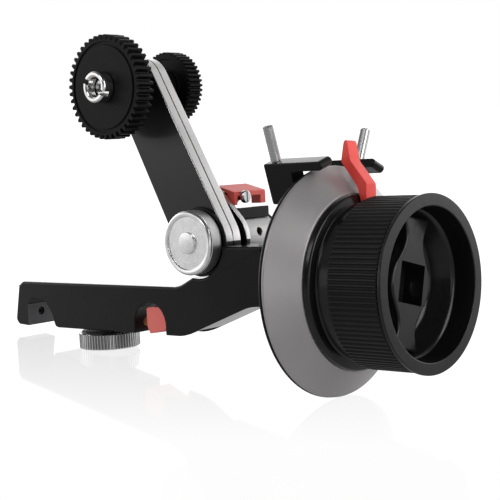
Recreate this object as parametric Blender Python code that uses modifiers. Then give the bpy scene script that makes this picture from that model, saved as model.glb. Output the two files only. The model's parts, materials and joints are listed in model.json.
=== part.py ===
"""Geared follow focus for a pair of 15 mm camera rods.

World frame: +X from the rod clamp to the hand wheel, +Y along the rods, +Z up.
The origin is the midpoint between the two rod centres, in the middle of the bracket.
"""
import bmesh
import bpy
from math import asin, atan2, cos, pi, radians, sin, sqrt
from mathutils import Matrix, Vector

MM = 0.001
GAP = 0.3 * MM

# Rods and bracket
ROD_SPACING = 60 * MM
ROD_SEAT_RADIUS = 7.7 * MM
THUMB_X = 1.2 * MM
SPRING_Z = 4.2 * MM
BRACKET_HALF_DEPTH = 6.6 * MM
BRACKET_TOP = 13.6 * MM
BRACKET_BOTTOM = -3.5 * MM
BRACKET_RIGHT = 84 * MM
LATCH_HALF_WIDTH = 5.0 * MM
POCKET_HALF_WIDTH = 5.4 * MM
THUMB_RADIUS = 11.2 * MM
PLUNGER_RADIUS = 2 * MM

# Arm pivot, parallel to the rods, and the spindle at the arm's far end
PIVOT_X = 54.1 * MM
PIVOT_Z = 29.1 * MM
ARM_LENGTH = 61.5 * MM
ARM_LEAN = radians(27.7)
ARM_FOOT_RADIUS = 11.3 * MM
ARM_HEAD_RADIUS = 10.3 * MM
ARM_FRONT = -3.1 * MM
ARM_BACK = 4.6 * MM
ARM_WALL = 1.5 * MM
ARM_SKIN = 1.3 * MM
PULLEY_RADIUS = 6.4 * MM
BELT = (-1.2 * MM, 2.7 * MM)
BELT_THICKNESS = 1.3 * MM
SHAFT_BORE = 3.6 * MM
SPINDLE_BORE = 3.3 * MM
SPINDLE_RADIUS = 3.0 * MM
KNOB_RADIUS = 10.95 * MM
BARREL_RADIUS = 8.5 * MM
SEAT_RADIUS = 12.4 * MM
SPINDLE_X = PIVOT_X - ARM_LENGTH * sin(ARM_LEAN)
SPINDLE_Z = PIVOT_Z + ARM_LENGTH * cos(ARM_LEAN)

# Focus gears
FRONT_TEETH = 43
FRONT_MODULE = 0.8 * MM
FRONT_GEAR = (-17.6 * MM, -10.9 * MM)
BACK_TEETH = 44
BACK_MODULE = 0.55 * MM
BACK_GEAR = (12.3 * MM, 18.7 * MM)
COLLET_SLOT_TILT = radians(30)

# Hand wheel axis, parallel to X
WHEEL_Y = 4.8 * MM
WHEEL_Z = 15.8 * MM
LAY_Y = 16.6 * MM
PINION_RADIUS = (LAY_Y - WHEEL_Y - GAP) / 2
DISC_RADIUS = 37 * MM
DISC_BACK = 102.4 * MM
DISC_FRONT = 105 * MM
CONE_TOP_RADIUS = 28.4 * MM
CONE_FRONT = 113.8 * MM
GRIP_RADIUS = 27 * MM
GRIP_BACK = 121.8 * MM
GRIP_FRONT = 140.3 * MM
RIM_FRONT = 141.9 * MM
FLOOR_X = 127 * MM
BOSS_FRONT = 134 * MM
SOCKET_HALF = 6.3 * MM
SOCKET_TILT = radians(14)

# Hard stops and the pointer between them, angles from straight up toward +Y
POINTER_ANGLE = radians(3.8)
STOP_SPREAD = radians(20.3)
STOP_TOP_RADIUS = 41 * MM
STOP_HALF_WIDTH = 3 * MM

# Facets of round pieces
ROUND = 32
FINE_ROUND = 56
SMALL_ROUND = 16

for old in list(bpy.data.objects):
    bpy.data.objects.remove(old, do_unlink=True)

PARTS = bpy.data.collections.new("geared_follow_focus")
CUTTERS = bpy.data.collections.new("cutters")
bpy.context.scene.collection.children.link(PARTS)
bpy.context.scene.collection.children.link(CUTTERS)


def material(name, colour, roughness, metallic=0.0):
    """A plain Principled material."""
    made = bpy.data.materials.new(name)
    made.use_nodes = True
    shader = made.node_tree.nodes["Principled BSDF"]
    shader.inputs["Base Color"].default_value = (*colour, 1)
    shader.inputs["Roughness"].default_value = roughness
    shader.inputs["Metallic"].default_value = metallic
    made.diffuse_color = (*colour, 1)
    return made


BLACK = material("black_anodised", (0.02, 0.019, 0.02), 0.4, 0.4)
GEAR_BLACK = material("black_acetal", (0.016, 0.016, 0.017), 0.45)
RUBBER = material("grip_rubber", (0.012, 0.012, 0.012), 0.6)
SILVER = material("brushed_aluminium", (0.78, 0.77, 0.76), 0.3, 1.0)
STEEL = material("bright_steel", (0.6, 0.6, 0.6), 0.25, 1.0)
BRONZE = material("bronze", (0.5, 0.3, 0.14), 0.35, 1.0)
RED = material("red_anodised", (0.75, 0.05, 0.035), 0.35, 0.3)
RING_GREY = material("marking_white", (0.5, 0.5, 0.5), 0.45)
BELT_RUBBER = material("belt_rubber", (0.03, 0.03, 0.03), 0.7)

TURN = {
    "X": Matrix.Rotation(pi / 2, 4, "Y"),
    "Y": Matrix.Rotation(-pi / 2, 4, "X"),
    "Z": Matrix.Identity(4),
}
# From a drawing's (across, up, toward) to the world, for outlines seen along Y, X or Z
FACE = {
    "Y": Matrix(((1, 0, 0, 0), (0, 0, -1, 0), (0, 1, 0, 0), (0, 0, 0, 1))),
    "X": Matrix(((0, 0, 1, 0), (1, 0, 0, 0), (0, 1, 0, 0), (0, 0, 0, 1))),
    "Z": Matrix.Identity(4),
}


def add(name, mesh, finish):
    """Link a mesh as a part, or as a hidden cutter when it has no finish."""
    made = bpy.data.objects.new(name, mesh)
    if finish is None:
        CUTTERS.objects.link(made)
        made.hide_render = True
        made.display_type = "WIRE"
    else:
        PARTS.objects.link(made)
        mesh.materials.append(finish)
    return made


def mm(points):
    """Points drawn in millimetres, in metres."""
    return [(first * MM, second * MM) for first, second in points]


def turned(name, outline, axis, centre, finish, ring=False, facets=ROUND):
    """A turned piece: outline is (radius, height) from the top down its outer side."""
    mesh = bpy.data.meshes.new(name)
    edges = [(i, i + 1) for i in range(len(outline) - 1)]
    if ring:
        edges.append((len(outline) - 1, 0))
    mesh.from_pydata([(radius, 0, height) for radius, height in outline], edges, [])
    made = add(name, mesh, finish)
    made.matrix_world = Matrix.Translation(centre) @ TURN[axis]
    screw = made.modifiers.new("turn", "SCREW")
    screw.steps = facets
    screw.render_steps = facets
    screw.use_merge_vertices = True
    screw.merge_threshold = 1e-6
    screw.use_smooth_shade = False
    weld = made.modifiers.new("weld", "WELD")
    weld.merge_threshold = 1e-6
    return made


def washer(name, inner, outer, low, high, axis, centre, finish, facets=ROUND):
    """A plain ring between two heights along its axis."""
    outline = [(outer, high), (outer, low), (inner, low), (inner, high)]
    return turned(name, outline, axis, centre, finish, True, facets)


def rod(name, radius, low, high, axis, centre, finish=None, facets=SMALL_ROUND):
    """A plain cylinder between two heights along its axis; a cutter without a finish."""
    mesh = bpy.data.meshes.new(name)
    body = bmesh.new()
    place = Matrix.Translation((0, 0, (low + high) / 2))
    bmesh.ops.create_cone(body, cap_ends=True, segments=facets, radius1=radius, radius2=radius,
                          depth=high - low, matrix=place)
    body.to_mesh(mesh)
    body.free()
    made = add(name, mesh, finish)
    made.matrix_world = Matrix.Translation(centre) @ TURN[axis]
    return made


def box(name, low, high, finish=None):
    """A box between two corners; a cutter without a finish."""
    size = [b - a for a, b in zip(low, high)]
    centre = [(a + b) / 2 for a, b in zip(low, high)]
    mesh = bpy.data.meshes.new(name)
    body = bmesh.new()
    bmesh.ops.create_cube(body, size=1, matrix=Matrix.Diagonal((*size, 1)))
    body.to_mesh(mesh)
    body.free()
    made = add(name, mesh, finish)
    made.location = centre
    return made


def plate(name, outlines, face, low, high, finish):
    """A flat outline, with any holes after it, made thick from low to high along its face."""
    curve = bpy.data.curves.new(name, "CURVE")
    curve.dimensions = "2D"
    curve.fill_mode = "BOTH"
    curve.extrude = (high - low) / 2
    for outline in outlines:
        spline = curve.splines.new("POLY")
        spline.points.add(len(outline) - 1)
        for point, (across, up) in zip(spline.points, outline):
            point.co = (across, up, 0, 1)
        spline.use_cyclic_u = True
    drawn = bpy.data.objects.new(name + "_drawn", curve)
    CUTTERS.objects.link(drawn)
    middle = {"X": 0, "Y": 1, "Z": 2}[face]
    shift = Vector((0, 0, 0))
    shift[middle] = (low + high) / 2
    drawn.matrix_world = Matrix.Translation(shift) @ FACE[face]
    bpy.context.view_layer.update()
    view = bpy.context.evaluated_depsgraph_get()
    mesh = bpy.data.meshes.new_from_object(drawn.evaluated_get(view))
    body = bmesh.new()
    body.from_mesh(mesh)
    bmesh.ops.remove_doubles(body, verts=body.verts, dist=1e-6)
    bmesh.ops.recalc_face_normals(body, faces=body.faces)
    body.to_mesh(mesh)
    body.free()
    mesh.materials.clear()
    made = add(name, mesh, finish)
    made.matrix_world = drawn.matrix_world.copy()
    bpy.data.objects.remove(drawn, do_unlink=True)
    return made


def combine(target, tool, operation="DIFFERENCE"):
    """Cut a tool out of a part, or join it on."""
    change = target.modifiers.new(operation.lower(), "BOOLEAN")
    change.operation = operation
    change.solver = "EXACT"
    change.object = tool


def arc(centre, radius, start, end, steps):
    """Points along an arc, angles in degrees anticlockwise from the first axis."""
    points = []
    for i in range(steps + 1):
        angle = radians(start + (end - start) * i / steps)
        points.append((centre[0] + radius * cos(angle), centre[1] + radius * sin(angle)))
    return points


def circle(centre, radius, steps=SMALL_ROUND):
    """A full circle of points."""
    return arc(centre, radius, 0, 360 - 360 / steps, steps - 1)


def capsule(first, first_radius, second, second_radius, steps=14):
    """The outline wrapped around two circles."""
    across, up = second[0] - first[0], second[1] - first[1]
    heading = atan2(up, across) * 180 / pi
    spread = asin((first_radius - second_radius) / sqrt(across ** 2 + up ** 2)) * 180 / pi
    side = 90 - spread
    head = arc(second, second_radius, heading - side, heading + side, steps)
    foot = arc(first, first_radius, heading + side, heading + 360 - side, steps)
    return head + foot


def on_arm(distance, sideways=0.0):
    """A point on the arm: distance from the pivot along it, and across it."""
    along = (-sin(ARM_LEAN), cos(ARM_LEAN))
    across = (cos(ARM_LEAN), sin(ARM_LEAN))
    return (PIVOT_X + distance * along[0] + sideways * across[0],
            PIVOT_Z + distance * along[1] + sideways * across[1])


THUMB = (THUMB_X, 0, 0)
PIVOT = (PIVOT_X, 0, PIVOT_Z)
SPINDLE = (SPINDLE_X, 0, SPINDLE_Z)
WHEEL = (0, WHEEL_Y, WHEEL_Z)
LAY = (0, LAY_Y, WHEEL_Z)


# ---------------------------------------------------------------- bracket and rod clamp

def left_rod_seat():
    """The angular seat at -X, open downward, from left to right."""
    return [(-37.7, -3.5), (-37.7, 4.6), (-35.2, 7.5), (-27.6, 7.5), (-23.0, 1.6), (-22.3, -1.2)]


def bracket_outline():
    """The bracket seen from the front, clockwise from its top left corner."""
    rod_x = ROD_SPACING / MM / 2
    seat = ROD_SEAT_RADIUS / MM
    pivot = (PIVOT_X / MM, PIVOT_Z / MM)
    cradle = SEAT_RADIUS / MM
    top, bottom, right = BRACKET_TOP / MM, BRACKET_BOTTOM / MM, BRACKET_RIGHT / MM
    outline = [(-40.6, top), (44.5, top)]
    outline += arc(pivot, cradle, 258, 354, 14)
    outline += [(70, 27.8), (right, 27.8), (right, 8.1), (77.2, 7.9), (56.3, 0), (48.6, -2.8)]
    outline += [(45, bottom), (rod_x + seat, bottom)]
    outline += arc((rod_x, 0), seat, 0, 180, 12)
    outline += [(rod_x - seat, bottom), (-19.8, bottom), (-21.6, -2.9)]
    outline += list(reversed(left_rod_seat()))
    outline += [(-43.6, -3.2), (-45.2, -1.4), (-42.2, 12.2)]
    return mm(outline)


def make_bracket():
    """The black bracket that hooks over both rods and cradles the arm's foot."""
    body = plate("bracket_body", [bracket_outline()], "Y", -BRACKET_HALF_DEPTH,
                 BRACKET_HALF_DEPTH, BLACK)
    combine(body, box("latch_pocket", (31 * MM, -POCKET_HALF_WIDTH, -9 * MM),
                      (53.2 * MM, POCKET_HALF_WIDTH, 6.7 * MM)))
    combine(body, rod("spring_hole", 2.2 * MM, 50 * MM, 60.5 * MM, "X", (0, 0, SPRING_Z)))
    combine(body, rod("stud_hole", 2.9 * MM, -6 * MM, 7 * MM, "Z", THUMB))
    combine(body, rod("plunger_hole", 2.3 * MM, -26 * MM, 26 * MM, "X", (0, 0, 0)))
    screw_axis = (0, 0, 1.5 * MM)
    combine(body, rod("hook_hole", 1.5 * MM, -46 * MM, -36 * MM, "X", screw_axis))
    rod("hook_set_screw", 1.2 * MM, -42.6 * MM, -38.3 * MM, "X", screw_axis, STEEL)


def make_rod_latch():
    """The red snap latch in the right-hand seat, on its spring."""
    outline = [(26.9, 5.6), (30.2, 6.1), (41.5, 6.1), (41.5, -2.3), (37.4, -2.3), (28.2, -3.6),
               (27.0, -1.2)]
    plate("rod_latch", [mm(outline)], "Y", -LATCH_HALF_WIDTH, LATCH_HALF_WIDTH, RED)
    coil("latch_spring", 1.6 * MM, 0.35 * MM, 41.9 * MM, 60.1 * MM, 8, "X", (0, 0, SPRING_Z), STEEL)


def coil(name, radius, wire, low, high, turns, axis, centre, finish):
    """A compression spring, as a wire wound along its axis."""
    curve = bpy.data.curves.new(name, "CURVE")
    curve.dimensions = "3D"
    curve.bevel_depth = wire
    curve.bevel_resolution = 1
    curve.use_fill_caps = True
    steps = turns * 8
    spline = curve.splines.new("POLY")
    spline.points.add(steps)
    for i in range(steps + 1):
        angle = 2 * pi * i / 8
        height = low + wire + (high - low - 2 * wire) * i / steps
        spline.points[i].co = (radius * cos(angle), radius * sin(angle), height, 1)
    made = bpy.data.objects.new(name, curve)
    PARTS.objects.link(made)
    curve.materials.append(finish)
    made.matrix_world = Matrix.Translation(centre) @ TURN[axis]
    return made


def make_thumb_screw():
    """The knurled thumb wheel under the bracket, its stud, washer and the two plungers."""
    rim = THUMB_RADIUS / MM
    wheel = [(2.6, -4.6), (rim - 0.4, -4.6), (rim, -5.0), (rim, -9.9), (rim - 0.4, -10.3), (2.6, -10.3)]
    turned("thumb_wheel", mm(wheel), "Z", THUMB, SILVER, True)
    washer("thumb_washer", 2.9 * MM, 10.2 * MM, -4.3 * MM, -3.8 * MM, "Z", THUMB, BLACK)
    stud = [(0, 4), (1.2, 4), (2.3, -1), (2.3, -10), (0, -10)]
    turned("thumb_stud", mm(stud), "Z", THUMB, STEEL, facets=SMALL_ROUND)
    rod("clamp_plunger_left", PLUNGER_RADIUS, -22 * MM, -1.9 * MM, "X", (0, 0, 0), BRONZE)
    rod("clamp_plunger_right", PLUNGER_RADIUS, 4.3 * MM, 22 * MM, "X", (0, 0, 0), BRONZE)


# ---------------------------------------------------------------- swing arm

def make_arm():
    """Two half shells with the belt pocket between them, and the short plate behind."""
    foot = (PIVOT_X, PIVOT_Z)
    head = (SPINDLE_X, SPINDLE_Z)
    seam = (ARM_FRONT + ARM_BACK) / 2
    outer = capsule(foot, ARM_FOOT_RADIUS, head, ARM_HEAD_RADIUS, 20)
    pocket = capsule(foot, ARM_FOOT_RADIUS - ARM_WALL, head, ARM_HEAD_RADIUS - ARM_WALL)
    drawn = [outer, circle(foot, SHAFT_BORE), circle(head, SPINDLE_BORE)]
    front = plate("arm_front_shell", drawn, "Y", ARM_FRONT, seam - GAP / 2, SILVER)
    back = plate("arm_rear_shell", drawn, "Y", seam + GAP / 2, ARM_BACK, SILVER)
    hollow = plate("belt_pocket", [pocket], "Y", ARM_FRONT + ARM_SKIN, ARM_BACK - ARM_SKIN, None)
    combine(front, hollow)
    combine(back, hollow)
    lock_end = on_arm(12 * MM)
    plate("arm_rear_plate", [capsule(foot, ARM_FOOT_RADIUS, lock_end, 8 * MM),
                             circle(foot, SHAFT_BORE)], "Y", 7.3 * MM, 9.5 * MM, SILVER)
    washer("arm_spacer", SHAFT_BORE, 9.6 * MM, 4.9 * MM, 7.0 * MM, "Y", PIVOT, BLACK)


def make_belt_drive():
    """The two pulleys and the belt around them, inside the arm."""
    foot = (PIVOT_X, PIVOT_Z)
    head = (SPINDLE_X, SPINDLE_Z)
    inside = PULLEY_RADIUS + GAP
    outside = inside + BELT_THICKNESS
    drawn = [capsule(foot, outside, head, outside), capsule(foot, inside, head, inside)]
    plate("timing_belt", drawn, "Y", *BELT, BELT_RUBBER)
    washer("drive_pulley", 3.5 * MM, PULLEY_RADIUS, *BELT, "Y", PIVOT, STEEL)
    washer("driven_pulley", 3.2 * MM, PULLEY_RADIUS, *BELT, "Y", SPINDLE, STEEL)


def gear_outline(centre, teeth, module):
    """A spur gear's outline with straight-sided teeth, four points to a tooth."""
    pitch = teeth * module / 2
    tip = pitch + module
    root = pitch - 1.15 * module
    step = 2 * pi / teeth
    points = []
    for tooth in range(teeth):
        for offset, radius in ((-0.36, root), (-0.14, tip), (0.14, tip), (0.36, root)):
            angle = step * (tooth + offset)
            points.append((centre[0] + radius * cos(angle), centre[1] + radius * sin(angle)))
    return points


def make_spindle():
    """The output spindle with a gear at each end and the split collet at the front."""
    head = (SPINDLE_X, SPINDLE_Z)
    radius = SPINDLE_RADIUS / MM
    spindle = [(0, 20.2), (radius, 20.2), (radius, -18.6), (0, -18.6)]
    turned("spindle", mm(spindle), "Y", SPINDLE, STEEL, facets=SMALL_ROUND)
    front = plate("front_gear", [gear_outline(head, FRONT_TEETH, FRONT_MODULE),
                                 circle(head, SPINDLE_BORE)], "Y", *FRONT_GEAR, GEAR_BLACK)
    groove = 15 * MM
    combine(front, washer("front_gear_groove", groove - 0.6 * MM, groove + 0.6 * MM,
                          FRONT_GEAR[0] - 1 * MM, FRONT_GEAR[0] + 0.5 * MM, "Y", SPINDLE, None))
    plate("back_gear", [gear_outline(head, BACK_TEETH, BACK_MODULE), circle(head, SPINDLE_BORE)],
          "Y", *BACK_GEAR, GEAR_BLACK)
    washer("front_gear_boss", SPINDLE_BORE, 6.2 * MM, -10.6 * MM, -3.4 * MM, "Y", SPINDLE, BLACK,
           SMALL_ROUND)
    washer("back_gear_boss", SPINDLE_BORE, 6.2 * MM, 4.9 * MM, 12.0 * MM, "Y", SPINDLE, BLACK,
           SMALL_ROUND)
    nut = [(3.3, -17.9), (5.4, -17.9), (5.4, -21.7), (4.8, -22.3), (3.3, -22.3)]
    collet = turned("split_collet", mm(nut), "Y", SPINDLE, SILVER, True)
    slot = box("collet_slot", (-6 * MM, -23 * MM, -0.8 * MM), (6 * MM, -19.4 * MM, 0.8 * MM))
    slot.matrix_world = (Matrix.Translation(SPINDLE) @ Matrix.Rotation(COLLET_SLOT_TILT, 4, "Y")
                         @ Matrix.Translation(slot.location))
    combine(collet, slot)
    back_nut = [(5.4, 20.5), (5.4, 19.0), (3.3, 19.0), (3.3, 20.5)]
    turned("collet_nut", mm(back_nut), "Y", SPINDLE, SILVER, True, SMALL_ROUND)


# ---------------------------------------------------------------- arm lock and pivot barrel

def make_arm_lock():
    """The silver lock knob on its stud, with a black washer under it."""
    rim = KNOB_RADIUS / MM
    outline = [(0, -8.6), (1.8, -8.6), (1.8, -4.6), (rim - 0.15, -4.6), (rim, -4.9), (rim, -9.9),
               (10.4, -10.5), (8.8, -10.5), (8.8, -10.2), (3.8, -10.2), (3.8, -10.6), (0, -10.6)]
    turned("lock_knob", mm(outline), "Y", PIVOT, SILVER)
    washer("lock_washer", SHAFT_BORE, 11.9 * MM, -4.3 * MM, -3.4 * MM, "Y", PIVOT, BLACK)
    rod("lock_stud", 1.5 * MM, -8.3 * MM, 24.6 * MM, "Y", PIVOT, STEEL, 16)


def make_cross_shaft():
    """The hollow shaft through the pivot, with the helical gear that turns it."""
    washer("cross_shaft", 1.9 * MM, 3.2 * MM, -1.6 * MM, 20.8 * MM, "Y", PIVOT, STEEL,
           SMALL_ROUND)
    washer("cross_gear", 3.5 * MM, 6.4 * MM, 13.3 * MM, 19.9 * MM, "Y", PIVOT, BRONZE)
    radius = BARREL_RADIUS / MM
    outline = [(radius, 26.4), (radius, 9.8), (6.9, 9.8), (6.9, 21.2), (1.8, 21.2), (1.8, 26.4)]
    barrel = turned("pivot_barrel", mm(outline), "Y", PIVOT, SILVER, True)
    mesh_window = box("mesh_window", (47 * MM, 12.1 * MM, 18 * MM), (61.2 * MM, 21.0 * MM, 26 * MM))
    combine(barrel, mesh_window)
    combine(barrel, rod("tommy_hole", 1.4 * MM, 57 * MM, 64 * MM, "X", (0, 17.8 * MM, 31 * MM)))
    rod("barrel_cap", BARREL_RADIUS, 26.7 * MM, 28.2 * MM, "Y", PIVOT, BLACK, ROUND)


def make_lever():
    """The red release lever rocking on its slotted pin above the barrel."""
    block = box("lever_block", (48 * MM, 10 * MM, 34 * MM), (60 * MM, 26.2 * MM, 39.6 * MM), BLACK)
    lug = box("lever_lug", (49.5 * MM, 12 * MM, 39 * MM), (52.3 * MM, 17 * MM, 45.2 * MM))
    combine(block, lug, "UNION")
    combine(block, rod("barrel_relief", 8.8 * MM, 8 * MM, 28 * MM, "Y", PIVOT, None, ROUND))
    pin = (0, 14.5 * MM, 43.3 * MM)
    combine(block, rod("pin_hole", 1.5 * MM, 48 * MM, 54 * MM, "X", pin))
    side = [(49.5, 47.7), (58.6, 45.2), (58.6, 43.5), (57.6, 43.4), (53, 45.7), (49.5, 46.5)]
    lever = plate("release_lever", [mm(side)], "Y", 9.9 * MM, 26.3 * MM, RED)
    for leg, front, rear in (("left_leg", 9.9, 11.4), ("right_leg", 23.4, 26.3)):
        combine(lever, box(leg, (54.2 * MM, front * MM, 40.6 * MM),
                           (58.6 * MM, rear * MM, 44.2 * MM)), "UNION")
    combine(lever, rod("lever_eye", 2.1 * MM, 52.8 * MM, 55.2 * MM, "X", pin), "UNION")
    combine(lever, rod("lever_eye_hole", 1.6 * MM, 50 * MM, 60 * MM, "X", pin))
    head = [(0, 60.4), (2.2, 60.4), (2.2, 58.9), (1.2, 58.9), (1.2, 49.8), (0, 49.8)]
    made = turned("lever_pin", mm(head), "X", pin, STEEL, facets=SMALL_ROUND)
    combine(made, box("pin_slot", (59.7 * MM, 14.1 * MM, 40 * MM), (61 * MM, 14.9 * MM, 47 * MM)))


# ---------------------------------------------------------------- drive to the hand wheel

def make_housings():
    """The black rear housing under the barrel and the gear case behind the disc."""
    rear = box("rear_housing", (46.5 * MM, 6.9 * MM, 8 * MM),
               (BRACKET_RIGHT, 24.4 * MM, 24 * MM), BLACK)
    combine(rear, rod("plate_relief", SEAT_RADIUS, 6 * MM, 9.8 * MM, "Y", PIVOT, None, ROUND))
    combine(rear, rod("barrel_seat", 8.8 * MM, 9 * MM, 27 * MM, "Y", PIVOT, None, ROUND))
    combine(rear, rod("lay_gear_pocket", 6.9 * MM, 49.6 * MM, 58.6 * MM, "X", LAY, None, ROUND))
    combine(rear, rod("lay_bore", 2.4 * MM, 47.2 * MM, 90 * MM, "X", LAY))
    near = (WHEEL_Y, WHEEL_Z)
    far = (LAY_Y, WHEEL_Z)
    outer = capsule(near, 12 * MM, far, 8.6 * MM)
    inner = capsule(near, 9.5 * MM, far, 6.2 * MM)
    plate("gear_case_cover", [outer, circle(near, 3.3 * MM), circle(far, 2.4 * MM)], "X",
          84.3 * MM, 86.3 * MM, BLACK)
    case = plate("gear_case", [outer, circle(near, 6.3 * MM)], "X", 86.6 * MM, 98.1 * MM, BLACK)
    combine(case, plate("gear_case_hollow", [inner], "X", 86 * MM, 95.5 * MM, None))


def make_drive():
    """The hand wheel's shaft, the lay shaft beside it, and their gears and bearing."""
    rod("wheel_shaft", SPINDLE_RADIUS, 84.6 * MM, FLOOR_X, "X", WHEEL, STEEL)
    rod("lay_shaft", 2 * MM, 47.6 * MM, 94.8 * MM, "X", LAY, STEEL)
    mesh = (87.4 * MM, 94.4 * MM)
    washer("wheel_pinion", 3.3 * MM, PINION_RADIUS, *mesh, "X", WHEEL, BRONZE, SMALL_ROUND)
    washer("lay_pinion", 2.3 * MM, PINION_RADIUS, *mesh, "X", LAY, BRONZE, SMALL_ROUND)
    washer("lay_gear", 2.3 * MM, 6.4 * MM, 50.6 * MM, 57.6 * MM, "X", LAY, STEEL)
    washer("wheel_bearing", 3.3 * MM, 6 * MM, 95.8 * MM, 98.1 * MM, "X", WHEEL, BRONZE, SMALL_ROUND)


def make_disc():
    """The stop carrier, the black backing plate and the conical marking ring."""
    carrier = [(27, 102.1), (27, 96.2), (22, 96.2), (22, 98.4), (4, 98.4), (4, 102.1)]
    turned("stop_carrier", mm(carrier), "X", WHEEL, BLACK, True)
    rim = DISC_FRONT - 0.8 * MM
    backing = [(DISC_RADIUS, DISC_FRONT), (DISC_RADIUS, rim), (DISC_RADIUS - 3.5 * MM, DISC_BACK),
               (4 * MM, DISC_BACK), (4 * MM, DISC_FRONT)]
    turned("disc_backing", backing, "X", WHEEL, BLACK, True, FINE_ROUND)
    front = DISC_FRONT + GAP
    outline = [(CONE_TOP_RADIUS, CONE_FRONT), (DISC_RADIUS - 0.1 * MM, front + 0.7 * MM),
               (DISC_RADIUS - 0.1 * MM, front), (9 * MM, front), (9 * MM, CONE_FRONT)]
    turned("marking_ring", outline, "X", WHEEL, RING_GREY, True, FINE_ROUND)


def make_hand_wheel():
    """The hand wheel: flange, body with its hollow front, grip sleeve, socket and pointer."""
    flange = [(24.6, 121.5), (24.8, 116.6), (27.7, 115.8), (28.1, 114.1), (3.3, 114.1), (3.3, 121.5)]
    turned("wheel_flange", mm(flange), "X", WHEEL, BLACK, True)
    front, back, floor = RIM_FRONT / MM, GRIP_BACK / MM, FLOOR_X / MM
    body = [(27.5, front), (27.5, front - 1.2), (25.2, front - 1.3), (25.2, back), (3.3, back),
            (3.3, floor), (18.5, floor), (23.0, 134.5), (23.6, front)]
    turned("wheel_body", mm(body), "X", WHEEL, BLACK, True, FINE_ROUND)
    washer("grip_sleeve", 25.5 * MM, GRIP_RADIUS, GRIP_BACK, GRIP_FRONT, "X", WHEEL, RUBBER,
           FINE_ROUND)
    make_socket_boss()
    make_pointer()


def make_socket_boss():
    """The boss in the hollow front, with a square socket and two tapering webs."""
    centre = (WHEEL_Y, WHEEL_Z)
    half = SOCKET_HALF
    corners = []
    for across, up in ((half, half), (-half, half), (-half, -half), (half, -half)):
        corners.append((centre[0] + across * cos(SOCKET_TILT) + up * sin(SOCKET_TILT),
                        centre[1] - across * sin(SOCKET_TILT) + up * cos(SOCKET_TILT)))
    boss = plate("socket_boss", [circle(centre, 10.2 * MM, ROUND), corners], "X", FLOOR_X + GAP,
                 BOSS_FRONT, BLACK)
    for name, turn in (("upper_web", -SOCKET_TILT), ("lower_web", pi - SOCKET_TILT)):
        web = []
        for across, up in ((-6.2, 7.3), (6.2, 7.3), (4.2, 12.4), (4.9, 17.3), (-4.9, 17.3), (-4.2, 12.4)):
            web.append((centre[0] + (across * cos(turn) - up * sin(turn)) * MM,
                        centre[1] + (across * sin(turn) + up * cos(turn)) * MM))
        combine(boss, plate(name, [web], "X", FLOOR_X + GAP, BOSS_FRONT - 2 * MM, None), "UNION")


def make_pointer():
    """The red pointer: a foot on the wheel's collar, a slope over the ring and a tab."""
    side = [(116.9, 25.3), (119.1, 25.3), (119.1, 31.0), (112.9, 38.3), (111.7, 44.2), (110.9, 44.9),
            (110.2, 43.9), (109.2, 38.0), (115.4, 30.2)]
    pointer = plate("pointer", [mm(side)], "Y", -2.6 * MM, 2.6 * MM, RED)
    turn = Matrix.Translation(WHEEL) @ Matrix.Rotation(-POINTER_ANGLE, 4, "X")
    pointer.matrix_world = turn @ pointer.matrix_world


def make_stop(side, angle, screw_x, screw_foot):
    """One hard stop: a post on the carrier, a finger over the disc's rim, and its screw."""
    turn = Matrix.Translation(WHEEL) @ Matrix.Rotation(-angle, 4, "X")
    top = STOP_TOP_RADIUS / MM
    shape = [(89.2, 27.4), (100, 27.4), (100, top - 3), (110.6, top - 3), (112.4, top - 2.3),
             (112.4, top - 0.7), (110.6, top), (89.2, top)]
    post = plate("hard_stop_" + side, [mm(shape)], "Y", -STOP_HALF_WIDTH, STOP_HALF_WIDTH, BLACK)
    post.matrix_world = turn @ post.matrix_world
    bore = rod("stop_bore_" + side, 1.3 * MM, screw_foot - GAP, 42 * MM, "Z", (screw_x, 0, 0))
    bore.matrix_world = turn @ bore.matrix_world
    combine(post, bore)
    foot = screw_foot / MM
    outline = [(0, 52.8), (1.3, 52.8), (1.6, 52.4), (1.6, 41.3), (1.0, 41.3), (1.0, foot), (0, foot)]
    screw = turned("stop_screw_" + side, mm(outline), "Z", (screw_x, 0, 0), STEEL,
                   facets=SMALL_ROUND)
    screw.matrix_world = turn @ screw.matrix_world


make_bracket()
make_rod_latch()
make_thumb_screw()
make_arm()
make_belt_drive()
make_spindle()
make_arm_lock()
make_cross_shaft()
make_lever()
make_housings()
make_drive()
make_disc()
make_hand_wheel()
make_stop("left", POINTER_ANGLE - STOP_SPREAD, 92.4 * MM, 34 * MM)
make_stop("right", POINTER_ANGLE + STOP_SPREAD, 103.7 * MM, 37.4 * MM)
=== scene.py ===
# %% [markdown]
# # A geared follow focus
#
# This device clamps to the two 15 mm rods under a camera. Turning the big hand wheel on the
# right drives a shaft, a swinging arm and a toothed gear that turns the lens's focus ring.
# The measured frame comes first: every body, hinge and size is already known from the CAD
# model, so each visible piece below is drawn to its own place and never has to be fitted.

# %% Load the measured frame
import json
from math import atan2, cos, degrees, pi, radians, sin

import bmesh
import bpy
from mathutils import Matrix, Vector

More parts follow.
